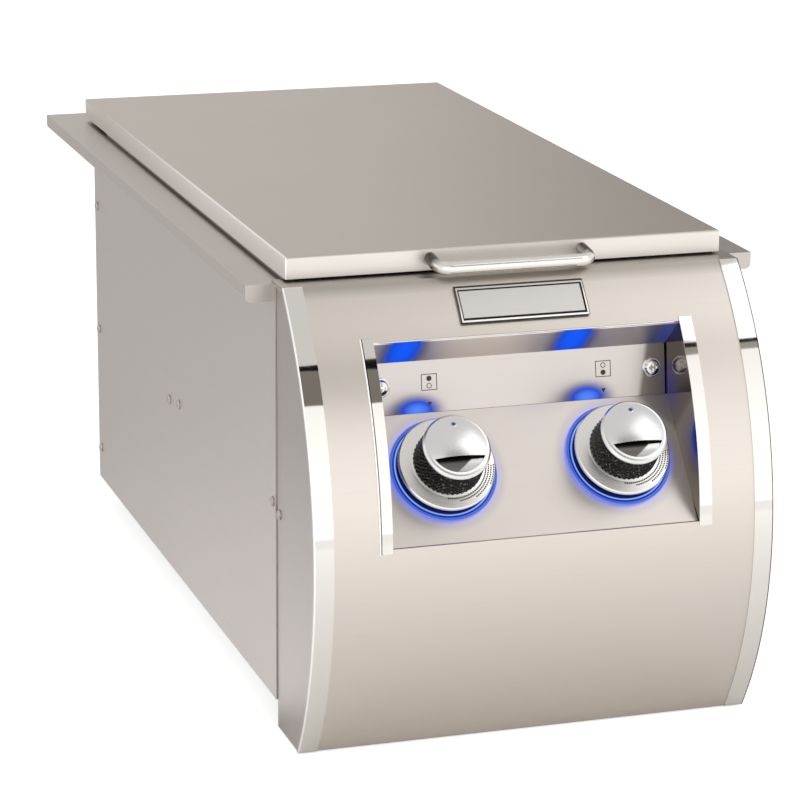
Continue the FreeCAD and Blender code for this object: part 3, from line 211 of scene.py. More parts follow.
# %% [markdown]
# Three softboxes do the modelling. A wide one stands on the floor in front: the bowed front and the polished
# bands mirror it as their bright zone. A second hangs above to the right and gives the knob caps their hot
# spot. A third, slightly blue, fills the long side from the left. A sun lamp would be simpler, but polished
# metal mirrors the shape of what lights it, and only a lamp with a size has one. The strength of each is
# written as the brightness of its face, where 1 is white.

# %% Lamps
def softbox(name, place, aim, size, brightness, tint="FFFFFF"):
    """Rectangular lamp facing a point, with a set brightness on its face."""
    lamp = bpy.data.lights.new(name, "AREA")
    lamp.shape = "RECTANGLE"
    lamp.size, lamp.size_y = size
    lamp.energy = brightness * math.pi * size[0] * size[1]
    lamp.color = srgb(tint)[:3]
    holder = place_object(name, lamp)
    facing = (Vector(aim) - Vector(place)).to_track_quat("-Z", "Y")
    holder.matrix_world = Matrix.Translation(Vector(place)) @ facing.to_matrix().to_4x4()
    holder.visible_camera = False
    print(name, round(lamp.energy, 1), "W")


softbox("front_softbox", (0.25, -1.25, 0.615), (0.25, 0.0, 0.615), (2.8, 1.13), 0.36, "FFFDFA")
softbox("top_softbox", (1.40, -1.15, 1.95), (0.25, -0.15, 0.15), (1.4, 1.2), 0.80)
softbox("left_softbox", (-2.3, 0.6, 0.9), (0.0, 0.0, 0.1), (1.6, 1.4), 0.6, "F8FAFF")

# %% [markdown]
# A photographer hangs dark cards, or flags, between the lamps. A black strip with a grey card under it gives
# the mirror bright bands one crisp dark mark, without which polished steel looks like white paint. A large
# grey card behind shades the near end of the lid. Each card glows in its own dark tone, rather than being
# painted, so that its mirror image doesn't change with the lamps. Only reflections see them.

# %% Flags
FRONT_FLAGS_Y = -1.15
BACK_FLAG_Y = 2.5


def flag(name, outline, y, tones):
    """Card in an upright plane, shaded from its left side to its right, that only reflections see."""
    card = bpy.data.materials.new(name + "_card")
    tree = empty_tree(card)
    place = add_node(tree, "ShaderNodeTexCoord")
    parts = add_node(tree, "ShaderNodeSeparateXYZ", [place.outputs["Generated"]])
    ramp = add_node(tree, "ShaderNodeValToRGB", [parts.outputs["X"]], stops=tones)
    glow = add_node(tree, "ShaderNodeEmission", {"Color": ramp, "Strength": 1.0})
    add_node(tree, "ShaderNodeOutputMaterial", {"Surface": glow})
    data = bpy.data.meshes.new(name)
    data.from_pydata([(x, y, z) for x, z in outline], [], [tuple(range(len(outline)))])
    data.materials.append(card)
    holder = place_object(name, data)
    holder.visible_camera = False
    holder.visible_diffuse = False
    print(name, "at", y, "m")


flag("black_strip", [(-0.10, 1.190), (0.205, 1.188), (0.276, 1.152), (0.601, 1.130), (0.687, 1.150),
                     (0.78, 1.155), (0.78, 1.197), (0.694, 1.197), (0.609, 1.186), (0.298, 1.289),
                     (0.216, 1.252), (-0.10, 1.220)], FRONT_FLAGS_Y, [(0.0, "080706"), (1.0, "100F0E")])
flag("grey_card", [(-0.10, 0.850), (0.142, 0.847), (0.202, 0.832), (0.45, 0.880), (0.574, 1.046),
                   (0.628, 1.068), (0.78, 1.080), (0.78, 1.156), (0.687, 1.151), (0.601, 1.131),
                   (0.276, 1.153), (0.205, 1.189), (-0.10, 1.191)], FRONT_FLAGS_Y,
     [(0.0, "726D66"), (0.45, "87827B"), (0.85, "A6A29C")])
flag("back_card", [(-3.0, 0.0), (4.0, 0.0), (4.0, 2.4), (-3.0, 2.4)], BACK_FLAG_Y,
     [(0.40, "E8E6E4"), (0.545, "E0DEDC"), (0.60, "ACA9A6"), (0.68, "7E7B78")])

# %% [markdown]
# Every finish starts the same way: an empty tree, object coordinates in millimetres, and a Principled shader
# wired to the output. Object coordinates stay still when a part moves, because each part's place is in its
# mesh, so a grain never slides. Each finish is then built up in layers, as a real one is: colours laid over
# the base, and patterns that vary the gloss and raise the skin.

# %% Starting a finish
def start_finish(name, colour, metallic, roughness, **sockets):
    """New material with a Principled shader, its tree, and its coordinates in millimetres."""
    material = bpy.data.materials.new(name)
    tree = empty_tree(material)
    values = {"Base Color": srgb(colour), "Metallic": metallic, "Roughness": roughness}
    values.update({key.replace("_", " "): value for key, value in sockets.items()})
    shader = add_node(tree, "ShaderNodeBsdfPrincipled", values, name="skin")
    add_node(tree, "ShaderNodeOutputMaterial", {"Surface": shader})
    place = add_node(tree, "ShaderNodeTexCoord")
    in_mm = add_node(tree, "ShaderNodeVectorMath", [place.outputs["Object"], (1000, 1000, 1000)],
                     operation="MULTIPLY", name="in_mm")
    return material, tree, in_mm.outputs[0]


def reopen(material):
    """Tree and millimetre coordinates of a finish made before."""
    tree = material.node_tree
    return tree, tree.nodes["in_mm"].outputs[0]


def wear(finish, *names):
    """Give CAD nodes their finish, and hand it back."""
    for name in names:
        slots = nodes[name].data.materials
        for index in range(len(slots)):
            slots[index] = finish
    print(finish.name, "on", ", ".join(names))
    return finish


# %% Layers of a finish
def present(socket):
    """What a socket takes now: the output that is linked to it, or its own value."""
    return socket.links[0].from_socket if socket.links else socket.default_value


def lay_over(tree, mask, colour, span=None, peak=1.0):
    """Lay a colour, as hex, linear values or a node, over the base colour where a mask is 1.

    With a span, any value is a mask: 0 at the start of the span and the peak at its end.
    """
    if span:
        mask = add_node(tree, "ShaderNodeMapRange", {"Value": mask, "From Min": span[0], "From Max": span[1],
                                                     "To Max": peak})
    base = tree.nodes["skin"].inputs["Base Color"]
    above = srgb(colour) if isinstance(colour, str) else colour
    shade = add_node(tree, "ShaderNodeMix", {0: mask, 6: present(base), 7: above}, data_type="RGBA")
    tree.links.new(shade.outputs[2], base)


def texture_skin(tree, pattern, swing=0.0, span=(0.0, 1.0), relief=0.0, depth_mm=0.0):
    """Let a pattern swing the roughness up and down over a span of its values, and raise the skin."""
    skin = tree.nodes["skin"].inputs
    if swing:
        swung = add_node(tree, "ShaderNodeMapRange", {"Value": pattern, "From Min": span[0],
                                                      "From Max": span[1], "To Min": -swing, "To Max": swing})
        gloss = add_node(tree, "ShaderNodeMath", [present(skin["Roughness"]), swung], operation="ADD")
        tree.links.new(gloss.outputs[0], skin["Roughness"])
    if depth_mm:
        raised = add_node(tree, "ShaderNodeBump", {"Height": pattern, "Strength": relief,
                                                   "Distance": depth_mm * MM})
        tree.links.new(raised.outputs[0], skin["Normal"])


def glow_by(tree, value, stops, span=(0.0, 1.0)):
    """Let a finish glow by itself, in the colours of a ramp, as a value goes along a span."""
    along = add_node(tree, "ShaderNodeMapRange", {"Value": value, "From Min": span[0], "From Max": span[1]})
    ramp = add_node(tree, "ShaderNodeValToRGB", [along], stops=stops)
    skin = tree.nodes["skin"].inputs
    tree.links.new(ramp.outputs[0], skin["Emission Color"])
    skin["Emission Strength"].default_value = 1.0


# %% [markdown]
# Brushed stainless sheet. On the real sheet a belt of grit leaves fine parallel scratches, all one way,
# which stretch reflections across the grain. They could come from a picture of scratches, but a noise has no
# seams, and its scale is a real size. Squeezed to hair lines it drives a faint bump, the gloss, and a very
# slight change of colour. The real lines are 0.1 mm apart, too fine to show, so they are drawn about 0.8 mm
# apart and very faint.

# %% Brushed steel
GRAIN_MM = 0.8
GRAIN_LENGTH_MM = 90.0
GRAIN_DEPTH_MM = 0.02
CLOUD_MM = 110.0


def brushed_steel(name, colour, roughness, along, lines=0.5):
    """Sheet with hair lines along one axis and a soft cloudiness from handling."""
    material, tree, mm = start_finish(name, colour, 1.0, roughness)
    scale = [1 / GRAIN_MM] * 3
    scale["XYZ".index(along)] = 1 / GRAIN_LENGTH_MM
    squeezed = add_node(tree, "ShaderNodeMapping", {"Vector": mm, "Scale": scale})
    hair = add_node(tree, "ShaderNodeTexNoise", {"Vector": squeezed, "Scale": 1.0, "Detail": 3.0})
    cloud = add_node(tree, "ShaderNodeTexNoise", {"Vector": mm, "Scale": 1 / CLOUD_MM, "Detail": 2.0})
    lay_over(tree, hair, "5E5954", (0.0, 1.0), peak=0.12 * lines)
    texture_skin(tree, hair, swing=0.06 * lines, relief=0.15 * lines, depth_mm=GRAIN_DEPTH_MM)
    texture_skin(tree, cloud, swing=0.03)
    return material


lid_sheet = wear(brushed_steel("brushed_stainless_lid", "CCC4BC", 0.38, "X"), "lid")
front_sheet = wear(brushed_steel("brushed_stainless_front", "DCD5CD", 0.36, "X"), "fascia_front")
wear(brushed_steel("brushed_stainless_flange", "C6C0BA", 0.38, "Y"), "top_frame")
wear(brushed_steel("brushed_stainless_side", "CCC6C4", 0.40, "Y"), "left_side_panel", "right_side_panel")
# The cheeks' own colour is set darker than the sides, as painted shade.
cheek_sheet = wear(brushed_steel("brushed_stainless_cheek", "B2ADAA", 0.40, "Z"),
                   "fascia_left_cheek", "fascia_right_cheek")
label_sheet = wear(brushed_steel("brushed_stainless_label", "CAC3BF", 0.30, "X", lines=0.35), "label_panel")
panel_sheet = wear(brushed_steel("brushed_stainless_panel", "DDD6D0", 0.34, "X", lines=0.4), "knob_panel")
wear(brushed_steel("brushed_stainless_tray", "BEB9B3", 0.38, "X"), "burner_tray")
ceiling_sheet = wear(brushed_steel("brushed_stainless_ceiling", "F0E9E2", 0.42, "X", lines=0.35),
                     "recess_ceiling")

# %% [markdown]
# The tones laid on these sheets are painted light and shade. The folded down sides of the lid are painted a
# little lighter than its top, as painted light, most of all the front half of its left side. The fascia is
# painted darker where it rolls in under the lid, as painted shade, and its cheeks carry painted shade near
# the top that gives way to a lighter tone towards the bottom. A second finish on some faces would need the
# CAD mesh cut up, so masks that read the place in millimetres lay these tones over the first one.

# %% Painted light and shade on the folds
LID_FOLD_Z = 305.9
LID_SIDE_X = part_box("lid")[0][0] / MM + 0.9
LID_BACK_Y = 260.0
LID_FRONT_Y = -60.0
LID_SHADE_Z = (284.0, 289.5)
CHEEK_SHADE_Z = (210.0, 30.0)
tree, mm = reopen(lid_sheet)
x, y, z = add_node(tree, "ShaderNodeSeparateXYZ", [mm]).outputs
# Painted light: the folded sides of the lid are painted lighter than its top.
painted_light_sides = add_node(tree, "ShaderNodeMath", [z, LID_FOLD_Z], operation="LESS_THAN")
lay_over(tree, painted_light_sides, "E1DCD6")
# Painted light: the front half of the left side of the lid is painted lighter still.
on_left = add_node(tree, "ShaderNodeMath", [x, LID_SIDE_X], operation="LESS_THAN")
front_half = add_node(tree, "ShaderNodeMapRange", {"Value": y, "From Min": LID_BACK_Y,
                                                   "From Max": LID_FRONT_Y})
painted_light_front = add_node(tree, "ShaderNodeMath", [on_left, front_half], operation="MULTIPLY")
lay_over(tree, painted_light_front, "FCF9F6")
# Painted shade: the fascia is painted darker under the lid, and the cheeks darker near the top, lighter
# towards the bottom.
for finish, colour, span in ((front_sheet, "B4AEA7", LID_SHADE_Z), (cheek_sheet, "CBC5C2", CHEEK_SHADE_Z)):
    tree, mm = reopen(finish)
    parts = add_node(tree, "ShaderNodeSeparateXYZ", [mm])
    lay_over(tree, parts.outputs["Z"], colour, span)
print("fold at", LID_FOLD_Z, "mm, roll at", LID_SHADE_Z, "mm")

# %% [markdown]
# Polished stainless. The bands, the edges of the opening and the inside of the recess are buffed until they
# mirror the room. A low roughness alone makes a perfect mirror, but real buffed sheet is never optically
# flat, so a very shallow, wide ripple bends the reflections a little, and faint smears change the gloss.

# %% Polished steel
SMEAR_MM = 24.0
MIDDLE = (0.3, 0.7)
RIPPLE_MM = 55.0
RIPPLE_DEPTH_MM = 4.0


def polished_steel(name, colour, roughness, ripple=0.0):
    """Buffed sheet or rod with faint smears and a shallow ripple."""
    material, tree, mm = start_finish(name, colour, 1.0, roughness)
    smear = add_node(tree, "ShaderNodeTexNoise", {"Vector": mm, "Scale": 1 / SMEAR_MM, "Detail": 4.0})
    texture_skin(tree, smear, swing=0.3 * roughness, span=MIDDLE)
    wave = add_node(tree, "ShaderNodeTexNoise", {"Vector": mm, "Scale": 1 / RIPPLE_MM, "Detail": 1.0})
    texture_skin(tree, wave, relief=ripple, depth_mm=RIPPLE_DEPTH_MM)
    return material


band_steel = wear(polished_steel("polished_stainless_band", "E6E4DF", 0.045, ripple=0.05),
                  "edge_bands", "opening_trims")
# The walls of the recess get a much darker colour than the bands, as painted shade inside the recess.
mirror_steel = wear(polished_steel("polished_stainless_recess", "837D78", 0.10, ripple=0.05), "recess_walls")
handle_steel = wear(polished_steel("satin_stainless_handle", "EAE7E2", 0.20, ripple=0.02), "lid_handle")
screw_steel = wear(polished_steel("bright_stainless_screw", "DCDAD7", 0.12), "label_screws")
wear(polished_steel("satin_stainless_rod", "C6BFB8", 0.28, ripple=0.02), "lid_hinge_rod")
wear(polished_steel("plain_stainless_screw", "B9B3AD", 0.34), "side_screws", "handle_screws")

# %% [markdown]
# The bands and the trims are cut to their outline after they are polished. The cut rounds the left hand
# edges, and a painted highlight there, white with a duller gloss, always catches some light. The right hand
# edges get a painted dark line of reflection, which parts the bright band from a bright background. A real
# bevel there would be finer than the picture can show, so the lines are laid over by their place. The
# handle's feet are painted dark where they enter the lid, as a painted reflection.

# %% Painted highlights and dark lines on the bands, and painted dark feet of the handle
PAINTED_HIGHLIGHT_EDGES = (-150.5, -108.8)
BRIGHT_REACH = 0.45
BRIGHT_ROUGHNESS = 0.6
PAINTED_DARK_EDGES = (-108.0, 150.5)
DARK_REACH = 0.35
tree, mm = reopen(band_steel)
x, _, _ = add_node(tree, "ShaderNodeSeparateXYZ", [mm]).outputs
gloss = tree.nodes["skin"].inputs["Roughness"]
# Painted highlight: a white line with a duller gloss on the left hand edges.
for edge in PAINTED_HIGHLIGHT_EDGES:
    at_edge = add_node(tree, "ShaderNodeMath", [x, edge, BRIGHT_REACH], operation="COMPARE")
    lay_over(tree, at_edge, "FFFFFF")
    dulled = add_node(tree, "ShaderNodeMix", {0: at_edge, 2: present(gloss), 3: BRIGHT_ROUGHNESS})
    tree.links.new(dulled.outputs[0], gloss)
# Painted reflection: a dark line on the right hand edges.
for edge in PAINTED_DARK_EDGES:
    at_edge = add_node(tree, "ShaderNodeMath", [x, edge, DARK_REACH], operation="COMPARE")
    lay_over(tree, at_edge, "67625C")

# Painted reflection: the handle's feet are painted dark where they enter the lid.
FEET_Y = (-276.0, -268.0)
FEET_X = (43.0, 49.0)
tree, mm = reopen(handle_steel)
x, y, _ = add_node(tree, "ShaderNodeSeparateXYZ", [mm]).outputs
aside = add_node(tree, "ShaderNodeMath", [x], operation="ABSOLUTE")
inward, at_end = [add_node(tree, "ShaderNodeMapRange", {"Value": way, "From Min": start, "From Max": end})
                  for way, (start, end) in ((y, FEET_Y), (aside, FEET_X))]
painted_dark_foot = add_node(tree, "ShaderNodeMath", [inward, at_end], operation="MULTIPLY")
lay_over(tree, painted_dark_foot, "443C36")
print("edge lines at", PAINTED_HIGHLIGHT_EDGES + PAINTED_DARK_EDGES, "mm")

# %% [markdown]
# Galvanised steel. The hidden sheets at the back and underneath are dipped in zinc, which freezes in flat
# crystals, the spangle, each with its own shade. Voronoi cells about 9 mm across give them, because they
# have the straight borders of crystals, which a noise has not.

# %% Galvanised steel
SPANGLE_MM = 9.0
zinc_sheet, tree, mm = start_finish("galvanised_steel_sheet", "9A9D9E", 1.0, 0.42)
crystal = add_node(tree, "ShaderNodeTexVoronoi", {"Vector": mm, "Scale": 1 / SPANGLE_MM})
gloss, shade, _ = add_node(tree, "ShaderNodeSeparateColor", [crystal.outputs["Color"]]).outputs
texture_skin(tree, gloss, swing=0.08)
lay_over(tree, shade, "B4B6B5")
wear(zinc_sheet, "back_panel", "bottom_pan", "heat_shield")

# %% [markdown]
# Small metal parts. Bent brackets and turned or cast fittings differ in colour and in how even their skin
# is. One recipe serves them all, because only its measures differ: a fine noise for the skin, with its grain
# size and its depth in millimetres, and dirt in the low spots.

# %% Cast and turned metal
LOW_SPOTS = (0.65, 0.35)


def rough_metal(name, colour, roughness, grain_mm, depth_mm, stain=0.18):
    """Metal with an uneven skin and slightly darker low spots."""
    material, tree, mm = start_finish(name, colour, 1.0, roughness)
    skin = add_node(tree, "ShaderNodeTexNoise", {"Vector": mm, "Scale": 1 / grain_mm, "Detail": 5.0})
    lay_over(tree, skin, "3A3734", LOW_SPOTS, peak=stain)
    texture_skin(tree, skin, swing=-0.08, relief=0.5, depth_mm=depth_mm)
    return material


wear(rough_metal("plated_bracket_steel", "B9B7B3", 0.30, 3.0, 0.02),
     "lid_hinge_leaves", "lid_hinge_brackets", "left_push_collar", "right_push_collar",
     "left_valve_stem", "right_valve_stem", "igniter_tips")
wear(rough_metal("zinc_plated_pipe", "B4B3AF", 0.34, 4.0, 0.03), "gas_manifold", "manifold_cap")
wear(rough_metal("machined_brass", "C9A765", 0.28, 2.5, 0.02), "inlet_elbow", "inlet_fitting")
wear(rough_metal("heat_darkened_brass", "A98A52", 0.38, 2.0, 0.04, stain=0.35),
     "rear_burner_head", "front_burner_head")
wear(rough_metal("cast_aluminium", "A8A7A4", 0.50, 1.6, 0.12), "rear_burner_base", "front_burner_base")
wear(rough_metal("drawn_aluminium_tube", "C2C3C3", 0.30, 3.0, 0.01), "gas_tubes")
wear(rough_metal("diecast_valve_metal", "A39F98", 0.42, 1.8, 0.08), "left_valve_body", "right_valve_body")

# %% [markdown]
# Coated and moulded parts. Vitreous enamel is glass fused on iron, so it is glossy with a slight orange
# peel. The cast iron supports under it have a coarse, matt enamel. Ceramic, rubber and plastics differ in
# gloss and in the size of their moulded texture, so a second recipe takes those as its values.

# %% Enamel, ceramic, rubber and plastic
UNEVEN_MM = 18.0


def coated(name, colour, roughness, grain_mm, depth_mm, ior):
    """Non-metal skin with a fine texture and a little unevenness of colour."""
    material, tree, mm = start_finish(name, colour, 0.0, roughness, IOR=ior)
    skin = add_node(tree, "ShaderNodeTexNoise", {"Vector": mm, "Scale": 1 / grain_mm, "Detail": 3.0})
    uneven = add_node(tree, "ShaderNodeTexNoise", {"Vector": mm, "Scale": 1 / UNEVEN_MM, "Detail": 2.0})
    darker = (*[c * 0.45 for c in srgb(colour)[:3]], 1.0)
    lay_over(tree, uneven, darker, MIDDLE, peak=0.12)
    texture_skin(tree, skin, swing=0.15 * roughness, relief=0.6, depth_mm=depth_mm)
    return material


wear(coated("matt_enamelled_cast_iron", "232221", 0.55, 1.2, 0.12, ior=1.5), "rear_grate", "front_grate")
wear(coated("gloss_black_enamel", "191919", 0.22, 2.5, 0.03, ior=1.5), "rear_burner_cap", "front_burner_cap")
wear(coated("glazed_ceramic", "E9E6DE", 0.25, 3.0, 0.02, ior=1.52), "igniter_ceramics")
wear(coated("moulded_black_plastic", "1D1D1E", 0.48, 0.8, 0.04, ior=1.46), "spark_module")
wear(coated("silicone_lead", "A7352B", 0.45, 1.5, 0.03, ior=1.43), "igniter_leads")
wear(coated("bumper_rubber", "222222", 0.70, 1.0, 0.05, ior=1.5), "lid_bumpers")
wear(coated("circuit_board", "1F5A33", 0.38, 2.0, 0.03, ior=1.5), "light_boards")

# %% [markdown]
# Both knobs share one set of measures. Their axis stands square to the sloped panel. The joint that turns
# each knob gives the axis and the centre, so the fine pieces are made flat on a table, round a vertical
# axis, and then carried onto the knob by one matrix.

# %% Knob measures
turns = {joint["name"].split("_")[0]: joint for joint in frame["joints"]
         if joint["name"].endswith("knob_turn")}
KNOB_AXIS = Vector(turns["left"]["axis"]).normalized()
KNOB_CENTRE = Vector(turns["right"]["pos_m"])
UP_PANEL = SIDEWAYS.cross(KNOB_AXIS) * -1
GRIP_FOOT_RADIUS = 22.3
GRIP_HEAD_RADIUS = 20.9
GRIP_BORE_RADIUS = 18.0
GRIP_LOW = 12.6
GRIP_HIGH = 33.0
RING_RADIUS = 34.5


def on_knob(side):
    """Matrix from the flat table, in metres, to the knob of one side."""
    return carry_to(Vector(turns[side]["pos_m"]), SIDEWAYS, UP_PANEL, KNOB_AXIS)


print("knob axis", [round(c, 3) for c in KNOB_AXIS], "up the panel", [round(c, 3) for c in UP_PANEL])

# %% [markdown]
# A pattern on a knob follows the distance from its axis. A UV map could carry it, but the CAD meshes have
# none. These nodes measure that distance, the height over the panel, and the places up and across, for both
# knobs at once: the sign of X tells which knob is meant.

# %% Distance from the knob's axis
def round_the_knob(tree, mm):
    """Sockets for the radius, the height, and the places up and across from the nearer knob, in mm."""
    x, _, _ = add_node(tree, "ShaderNodeSeparateXYZ", [mm]).outputs
    which = add_node(tree, "ShaderNodeMath", [x], operation="SIGN")
    middle = add_node(tree, "ShaderNodeMath", [which, KNOB_CENTRE.x / MM], operation="MULTIPLY")
    across = add_node(tree, "ShaderNodeMath", [x, middle], operation="SUBTRACT")
    centre = Vector((0, KNOB_CENTRE.y, KNOB_CENTRE.z)) / MM
    moved = add_node(tree, "ShaderNodeVectorMath", [mm, centre], operation="SUBTRACT")
    along, height = [add_node(tree, "ShaderNodeVectorMath", [moved, way], operation="DOT_PRODUCT")
                     for way in (UP_PANEL, KNOB_AXIS)]
    flat = add_node(tree, "ShaderNodeCombineXYZ", [across, along.outputs["Value"]])
    radius = add_node(tree, "ShaderNodeVectorMath", [flat], operation="LENGTH")
    return (*[node.outputs["Value"] for node in (radius, height, along)], across.outputs[0])


print("knob spacing", round(2 * KNOB_CENTRE.x / MM), "mm")

# %% [markdown]
# The skirt and the cap are die cast, plated, and brushed on a lathe, so their hair lines run in rings. The
# squeezed noise of the sheets would give straight lines, but a noise that is read along the radius gives
# rings.

# %% Plated knob metal
RING_LINE_MM = 0.35


def lathe_brushed(name, colour, roughness):
    """Satin plating with ring shaped hair lines."""
    material, tree, mm = start_finish(name, colour, 1.0, roughness)
    radius, height, _, _ = round_the_knob(tree, mm)
    spread = add_node(tree, "ShaderNodeCombineXYZ", [radius, height])
    rings = add_node(tree, "ShaderNodeTexNoise", {"Vector": spread, "Scale": 1 / RING_LINE_MM, "Detail": 2.0})
    texture_skin(tree, rings, swing=0.05, relief=0.12, depth_mm=GRAIN_DEPTH_MM)
    return material


wear(lathe_brushed("satin_plated_skirt", "ECEAE7", 0.28), "left_knob_skirt", "right_knob_skirt")
plated_cap = wear(lathe_brushed("satin_plated_cap", "E6E6E6", 0.26), "left_knob_cap", "right_knob_cap")

# %% [markdown]
# The finger scoop in the cap is painted much darker than the brushed dome, as painted shade under its
# straight wall. Its tone follows the way down the cap, from black under the straight edge to grey at the rim.
# Its right end gets a painted highlight. The cap's mesh stays whole, so a mask finds the scoop by its
# straight edge and its radius.

# %% Painted shade and highlight in the finger scoop
SCOOP_EDGE = -7.8
SCOOP_RADIUS = 17.9
OVERLAP = 0.05
HIGHLIGHT_SLANT = 1.25
HIGHLIGHT_FROM = 8.0 - HIGHLIGHT_SLANT * SCOOP_EDGE
HIGHLIGHT_BLUR = 1.6
HIGHLIGHT_BELOW = SCOOP_EDGE - 1.0
tree, mm = reopen(plated_cap)
radius, _, along, across = round_the_knob(tree, mm)
below = add_node(tree, "ShaderNodeMath", [along, SCOOP_EDGE + OVERLAP], operation="LESS_THAN")
within = add_node(tree, "ShaderNodeMath", [radius, SCOOP_RADIUS], operation="LESS_THAN")
in_scoop = add_node(tree, "ShaderNodeMath", [below, within], operation="MULTIPLY")
# Painted shade: the scoop is painted black under its straight edge and grey towards the rim.
down = add_node(tree, "ShaderNodeMapRange", {"Value": along, "From Min": SCOOP_EDGE,
                                             "From Max": -SCOOP_RADIUS})
tones = add_node(tree, "ShaderNodeValToRGB", [down], stops=[
    (0.0, "141312"), (0.14, "2C2A28"), (0.34, "6A6662"), (0.80, "86827E"), (1.0, "B8B5B2")])
lay_over(tree, in_scoop, tones)
# Painted highlight: the right end of the scoop is painted bright.
slant = add_node(tree, "ShaderNodeMath", [along, -HIGHLIGHT_SLANT], operation="MULTIPLY")
side_way = add_node(tree, "ShaderNodeMath", [across, slant], operation="ADD")
painted_highlight = add_node(tree, "ShaderNodeMapRange", {"Value": side_way, "From Min": HIGHLIGHT_FROM,
                                             "From Max": HIGHLIGHT_FROM + HIGHLIGHT_BLUR})
deep = add_node(tree, "ShaderNodeMath", [along, HIGHLIGHT_BELOW], operation="LESS_THAN")
painted_highlight_deep = add_node(tree, "ShaderNodeMath", [painted_highlight, deep], operation="MULTIPLY")
lay_over(tree, painted_highlight_deep, "E6E6E6")
print("scoop starts", SCOOP_EDGE, "mm from the middle of the cap")

# %% [markdown]
# The glowing ring is clear plastic lit from behind by blue lamps. Its two fine grooves catch more light
# than the flats between them, which gives the double line. Lamps under real plastic would show it too, with
# far more noise, so here the plastic glows by itself, and the brightness follows the radius.

# %% Glowing ring
RING_INNER_RADIUS = 27.5
lit_ring, tree, mm = start_finish("lit_blue_acrylic", "081232", 0.0, 0.18, IOR=1.49)
radius, _, _, _ = round_the_knob(tree, mm)
glow_by(tree, radius, [(0.0, "01031A"), (0.36, "010626"), (0.44, "3A58A8"), (0.49, "86A8F8"),
                       (0.55, "9EBCFF"), (0.60, "2A50B8"), (0.66, "0A2480"), (0.74, "3056BC"),
                       (0.81, "5076E4"), (0.86, "2C48AC"), (0.93, "5A70D2"), (1.0, "7084E0")],
        (RING_INNER_RADIUS, RING_RADIUS))
wear(lit_ring, "left_light_ring", "right_light_ring")

# %% [markdown]
# The name plate is bare: a silver field inside its polished rim. Painted shade gives a dark line round the
# field, and a finer one round the rim. The lines are masks by the distance from the outline, and not thin
# pieces.

# %% Bare name plate
def edge_line(tree, mm, node_name, width):
    """Mask that is 1 within a width, in mm, of the outline of an upright rectangular piece."""
    low, high = [Vector(corner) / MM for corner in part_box(node_name)]
    moved = add_node(tree, "ShaderNodeVectorMath", [mm, (low + high) / 2], operation="SUBTRACT")
    size = add_node(tree, "ShaderNodeVectorMath", [moved], operation="ABSOLUTE")
    left = add_node(tree, "ShaderNodeVectorMath", [(high - low) / 2, size], operation="SUBTRACT")
    x, _, z = add_node(tree, "ShaderNodeSeparateXYZ", [left]).outputs
    nearest = add_node(tree, "ShaderNodeMath", [x, z], operation="MINIMUM")
    return add_node(tree, "ShaderNodeMath", [nearest, width], operation="LESS_THAN")


for name, node_name, colour, metallic, roughness, grain_mm, width, painted_shade_line in (
        ("silver_painted_plate", "name_plate_field", "D5D2CF", 0.85, 0.38, 0.5, 1.0, "2A2826"),
        ("polished_plate_rim", "name_plate_rim", "DCDAD6", 1.0, 0.13, 6.0, 0.45, "3A3734")):
    finish, tree, mm = start_finish(name, colour, metallic, roughness)
    # Painted shade: a dark line along the outline of the field and of the rim.
    lay_over(tree, edge_line(tree, mm, node_name, width), painted_shade_line)
    speck = add_node(tree, "ShaderNodeTexNoise", {"Vector": mm, "Scale": 1 / grain_mm, "Detail": 2.0})
    texture_skin(tree, speck, swing=0.25 * roughness)
    wear(finish, node_name)

# %% [markdown]
# Some pieces repeat one small shape many times, and Geometry Nodes make those. Every tree of this lesson
# rolls a flat grid round an axis, so helpers number the points of the grid, roll it, and end the tree. The
# last one runs a tree once and keeps the result as a plain mesh, so nothing is left to be worked out later.

# %% Trees for repeated shapes
def start_tree(name, sizes):
    """Geometry Nodes tree with a named input for each size, and the sockets that give them."""
    tree = bpy.data.node_groups.new(name, "GeometryNodeTree")
    for label, value in sizes.items():
        kind = "NodeSocketInt" if isinstance(value, int) else "NodeSocketFloat"
        tree.interface.new_socket(label, in_out="INPUT", socket_type=kind)
    tree.interface.new_socket("Geometry", in_out="OUTPUT", socket_type="NodeSocketGeometry")
    return tree, add_node(tree, "NodeGroupInput").outputs


def number_points(tree, rows):
    """Column and row of each point of a grid, which is numbered column by column."""
    index = add_node(tree, "GeometryNodeInputIndex")
    row = add_node(tree, "ShaderNodeMath", [index, rows], operation="MODULO")
    share = add_node(tree, "ShaderNodeMath", [index, rows], operation="DIVIDE")
    return add_node(tree, "ShaderNodeMath", [share], operation="FLOOR"), row


def roll_grid(tree, columns, rows, angle, radius, height):
    """Grid whose points are moved to an angle round the axis, a radius and a height."""
    grid = add_node(tree, "GeometryNodeMeshGrid", {"Size X": 1.0, "Size Y": 1.0, "Vertices X": columns,
                                                   "Vertices Y": rows})
    ways = [add_node(tree, "ShaderNodeMath", [angle], operation=kind) for kind in ("COSINE", "SINE")]
    east, north = [add_node(tree, "ShaderNodeMath", [way, radius], operation="MULTIPLY") for way in ways]
    spot = add_node(tree, "ShaderNodeCombineXYZ", [east, north, height])
    return add_node(tree, "GeometryNodeSetPosition", {"Geometry": grid, "Position": spot})


def end_tree(tree, shape, finish):
    """Make every copy real, give all of it one finish, and hand it out."""
    real = add_node(tree, "GeometryNodeRealizeInstances", [shape])
    dressed = add_node(tree, "GeometryNodeSetMaterial", {"Geometry": real, "Material": finish})
    add_node(tree, "NodeGroupOutput", [dressed])


